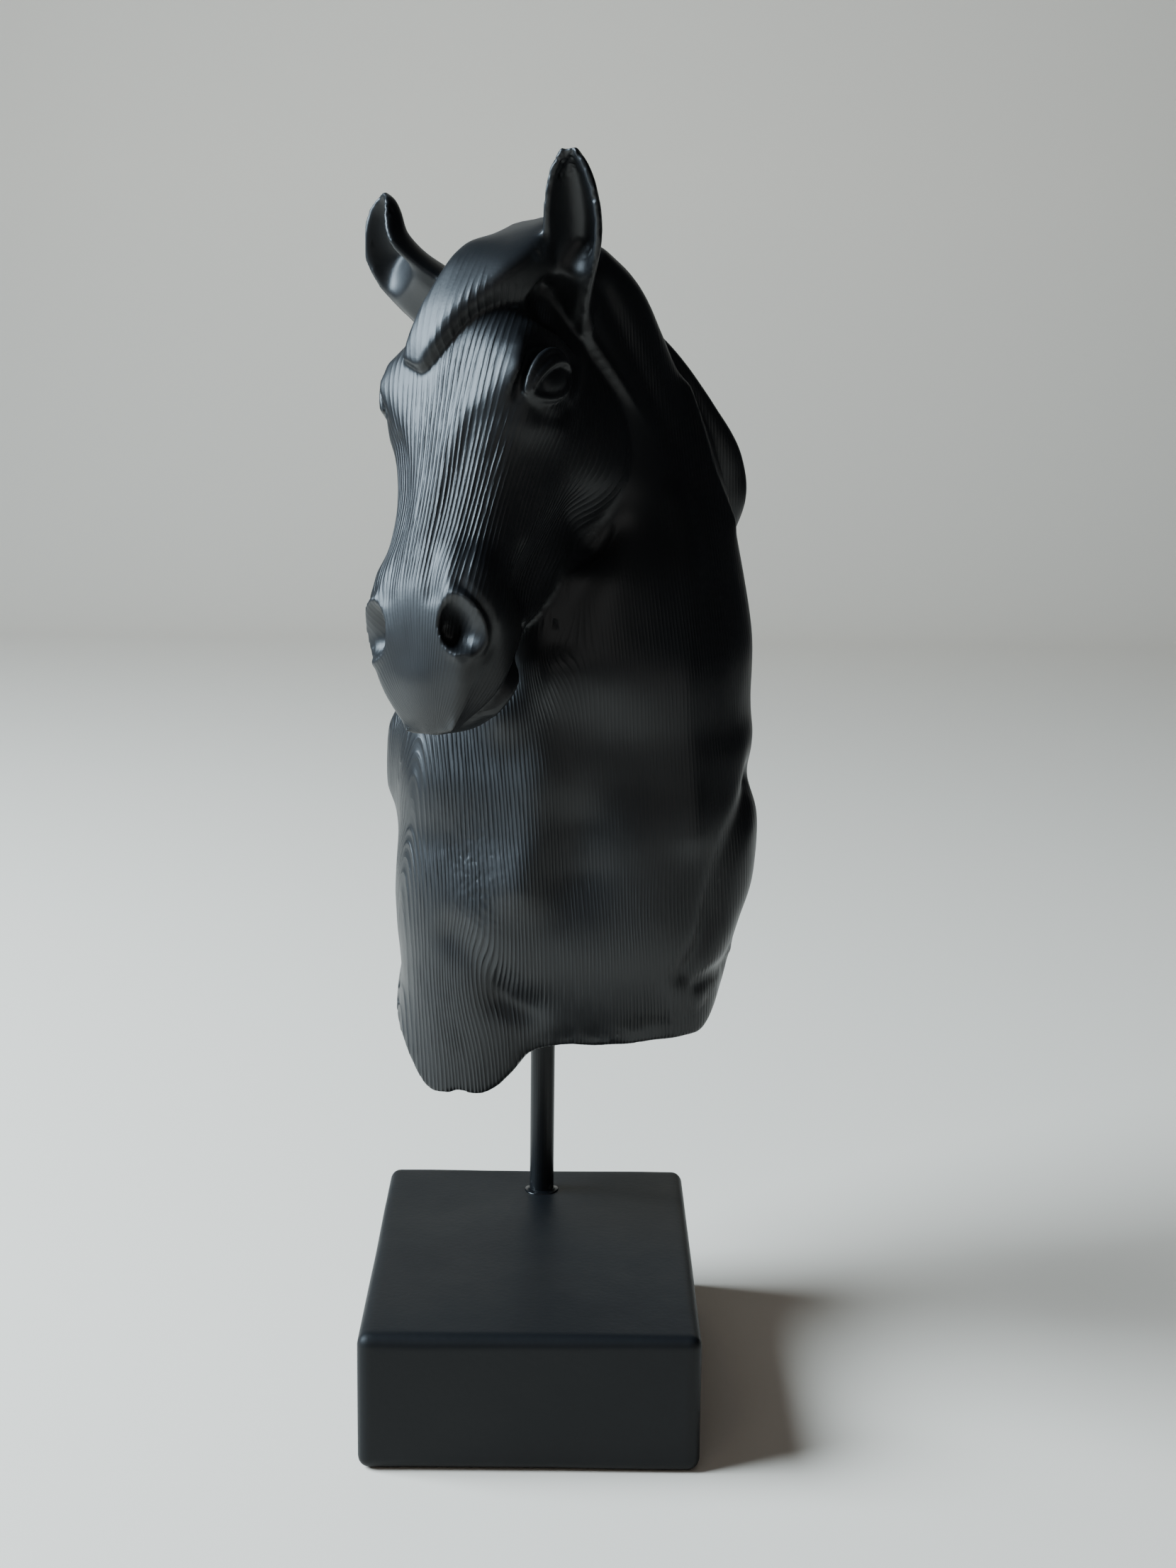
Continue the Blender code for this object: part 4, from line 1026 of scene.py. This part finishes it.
points, squares = block()
points[:, 2] = np.maximum(points[:, 2] + BLOCK_TOP / 2, 0)
data = mesh_of("plinth_block", points * MM, squares.tolist())
welded = bmesh.new()
welded.from_mesh(data)
bmesh.ops.remove_doubles(welded, verts=welded.verts, dist=.00001)
welded.to_mesh(data)
welded.free()
plinth = piece("plinth_block", data)

# Matt black wood paint: an even dull black, cloudy where the brush went twice, with a faint skin
# and a few pale specks of dust. Sizes are in millimetres, and a speck's is a part of its cell's.
CLOUD = 38.46
PAINT_SKIN = 1.613
PAINT_DEPTH = .05
CLOUD_SHARE = 6.0
DUST_CELL = 10.53
DUST_RADIUS = .045
DUST_RARITY = .955
PAINT_ROUGHNESS, CLOUD_ROUGHNESS = .40, .16
black, tree, shader = finish_of("matt black wood paint", "#111214", .5, .22)
place_of = node(tree, "TexCoord").outputs["Object"]
cloud = node(tree, "TexNoise", {"Vector": place_of, "Scale": per_metre(CLOUD), "Detail": 4.0})
dull = node(tree, "Math", [cloud, CLOUD_ROUGHNESS, PAINT_ROUGHNESS], operation="MULTIPLY_ADD")
fine = node(tree, "TexNoise", {"Vector": place_of, "Scale": per_metre(PAINT_SKIN), "Detail": 3.0})
height = node(tree, "Math", [cloud, CLOUD_SHARE, fine], operation="MULTIPLY_ADD")
bump = node(tree, "Bump", {"Height": height, "Distance": PAINT_DEPTH * MM, "Strength": 1.0})
grains = node(tree, "TexVoronoi", {"Vector": place_of, "Scale": per_metre(DUST_CELL)})
chance = node(tree, "SeparateColor", [grains.outputs["Color"]])
inside = node(tree, "Math", [grains, DUST_RADIUS], operation="LESS_THAN")
chosen = node(tree, "Math", [chance, DUST_RARITY], operation="GREATER_THAN")
speck = node(tree, "Math", [inside, chosen], operation="MULTIPLY")
dusty = node(tree, "Mix", {"Factor": speck, "A": linear("#111214"), "B": linear("#777a7c")},
             data_type="RGBA")
fill(shader, {"Normal": bump, "Roughness": dull, "Base Color": dusty.outputs["Result"]})
data.materials.append(black)
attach(plinth, "root")
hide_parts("plinth")

# Floor and light
# A plain pale sweep of paper, in metres. A large soft window stands high on the left; the room
# behind the camera and a far wall in front on the right give a little light back.
FLOOR_DEPTH = 2.2
FLOOR_SIDE = .95
CURVE = .5
CURVE_STEPS = 24
across = np.linspace(-FLOOR_SIDE, FLOOR_SIDE, 3)
turn = np.linspace(0, np.pi / 2, CURVE_STEPS)
rise = np.stack([FLOOR_DEPTH - CURVE + CURVE * np.sin(turn), CURVE - CURVE * np.cos(turn)], 1)
line = np.vstack([[-FLOOR_DEPTH, 0], rise, [FLOOR_DEPTH, 2 * FLOOR_DEPTH]])
verts = np.array([(x, y, z) for y, z in line for x in across])
corner = (3 * np.arange(len(line) - 1)[:, None] + np.arange(2)).ravel()
faces = np.stack([corner, corner + 1, corner + 4, corner + 3], 1)
floor = piece("floor", mesh_of("floor", verts, faces.tolist()))
# Pale paper: even and without any shine.
floor.data.materials.append(finish_of("pale paper", "#fbeddc", .8)[0])

world = bpy.data.worlds.new("room")
bpy.context.scene.world = world
world.use_nodes = True
fill(world.node_tree.nodes["Background"], [(.75, .82, 1, 1), .02])


def panel(name, where, towards, wide, high, power, tint):
    """A soft light: a flat round panel that faces a place. Places and sizes are in metres."""
    light = bpy.data.lights.new(name, "AREA")
    light.shape = "ELLIPSE"
    light.size, light.size_y = wide, high
    light.energy = power
    light.color = tint
    back = unit(np.subtract(where, towards))
    right = unit(np.cross((0, 0, 1), back))
    turned = np.eye(4)
    turned[:3, :] = np.stack([right, np.cross(back, right), back, where], 1)
    piece(name, light).matrix_world = Matrix(turned)


DAYLIGHT = (.68, .85, 1)
WARM = (1, .98, .95)
panel("window", (-1.3, -.12, 1.08), (0, .05, .25), 1.2, 1.1, 92, DAYLIGHT)
panel("room", (-.3, -1.7, 1.6), (0, .05, .2), 1.6, 1.2, 3.2, WARM)
panel("far wall", (1.15, -1.6, .35), (0, 0, .25), 1.8, 1.5, 2.4, WARM)

# Camera
# It stands where the photograph's stood: its place in metres, then how far it is turned to the
# right, tipped down and rolled, in degrees.
CAMERA_PLACE = (.0088, -.7007, .3309)
yaw, pitch, roll = np.radians([.54, 11.32, .73])
lens = bpy.data.cameras.new("camera")
lens.lens = 54.08
lens.sensor_width = 36
lens.sensor_fit = "AUTO"
lens.clip_start = .01
camera = piece("camera", lens)
camera.matrix_world = (Matrix.Translation(CAMERA_PLACE) @ Matrix.Rotation(-yaw, 4, "Z")
                       @ Matrix.Rotation(np.pi / 2 - pitch, 4, "X") @ Matrix.Rotation(roll, 4, "Z"))
bpy.context.scene.camera = camera
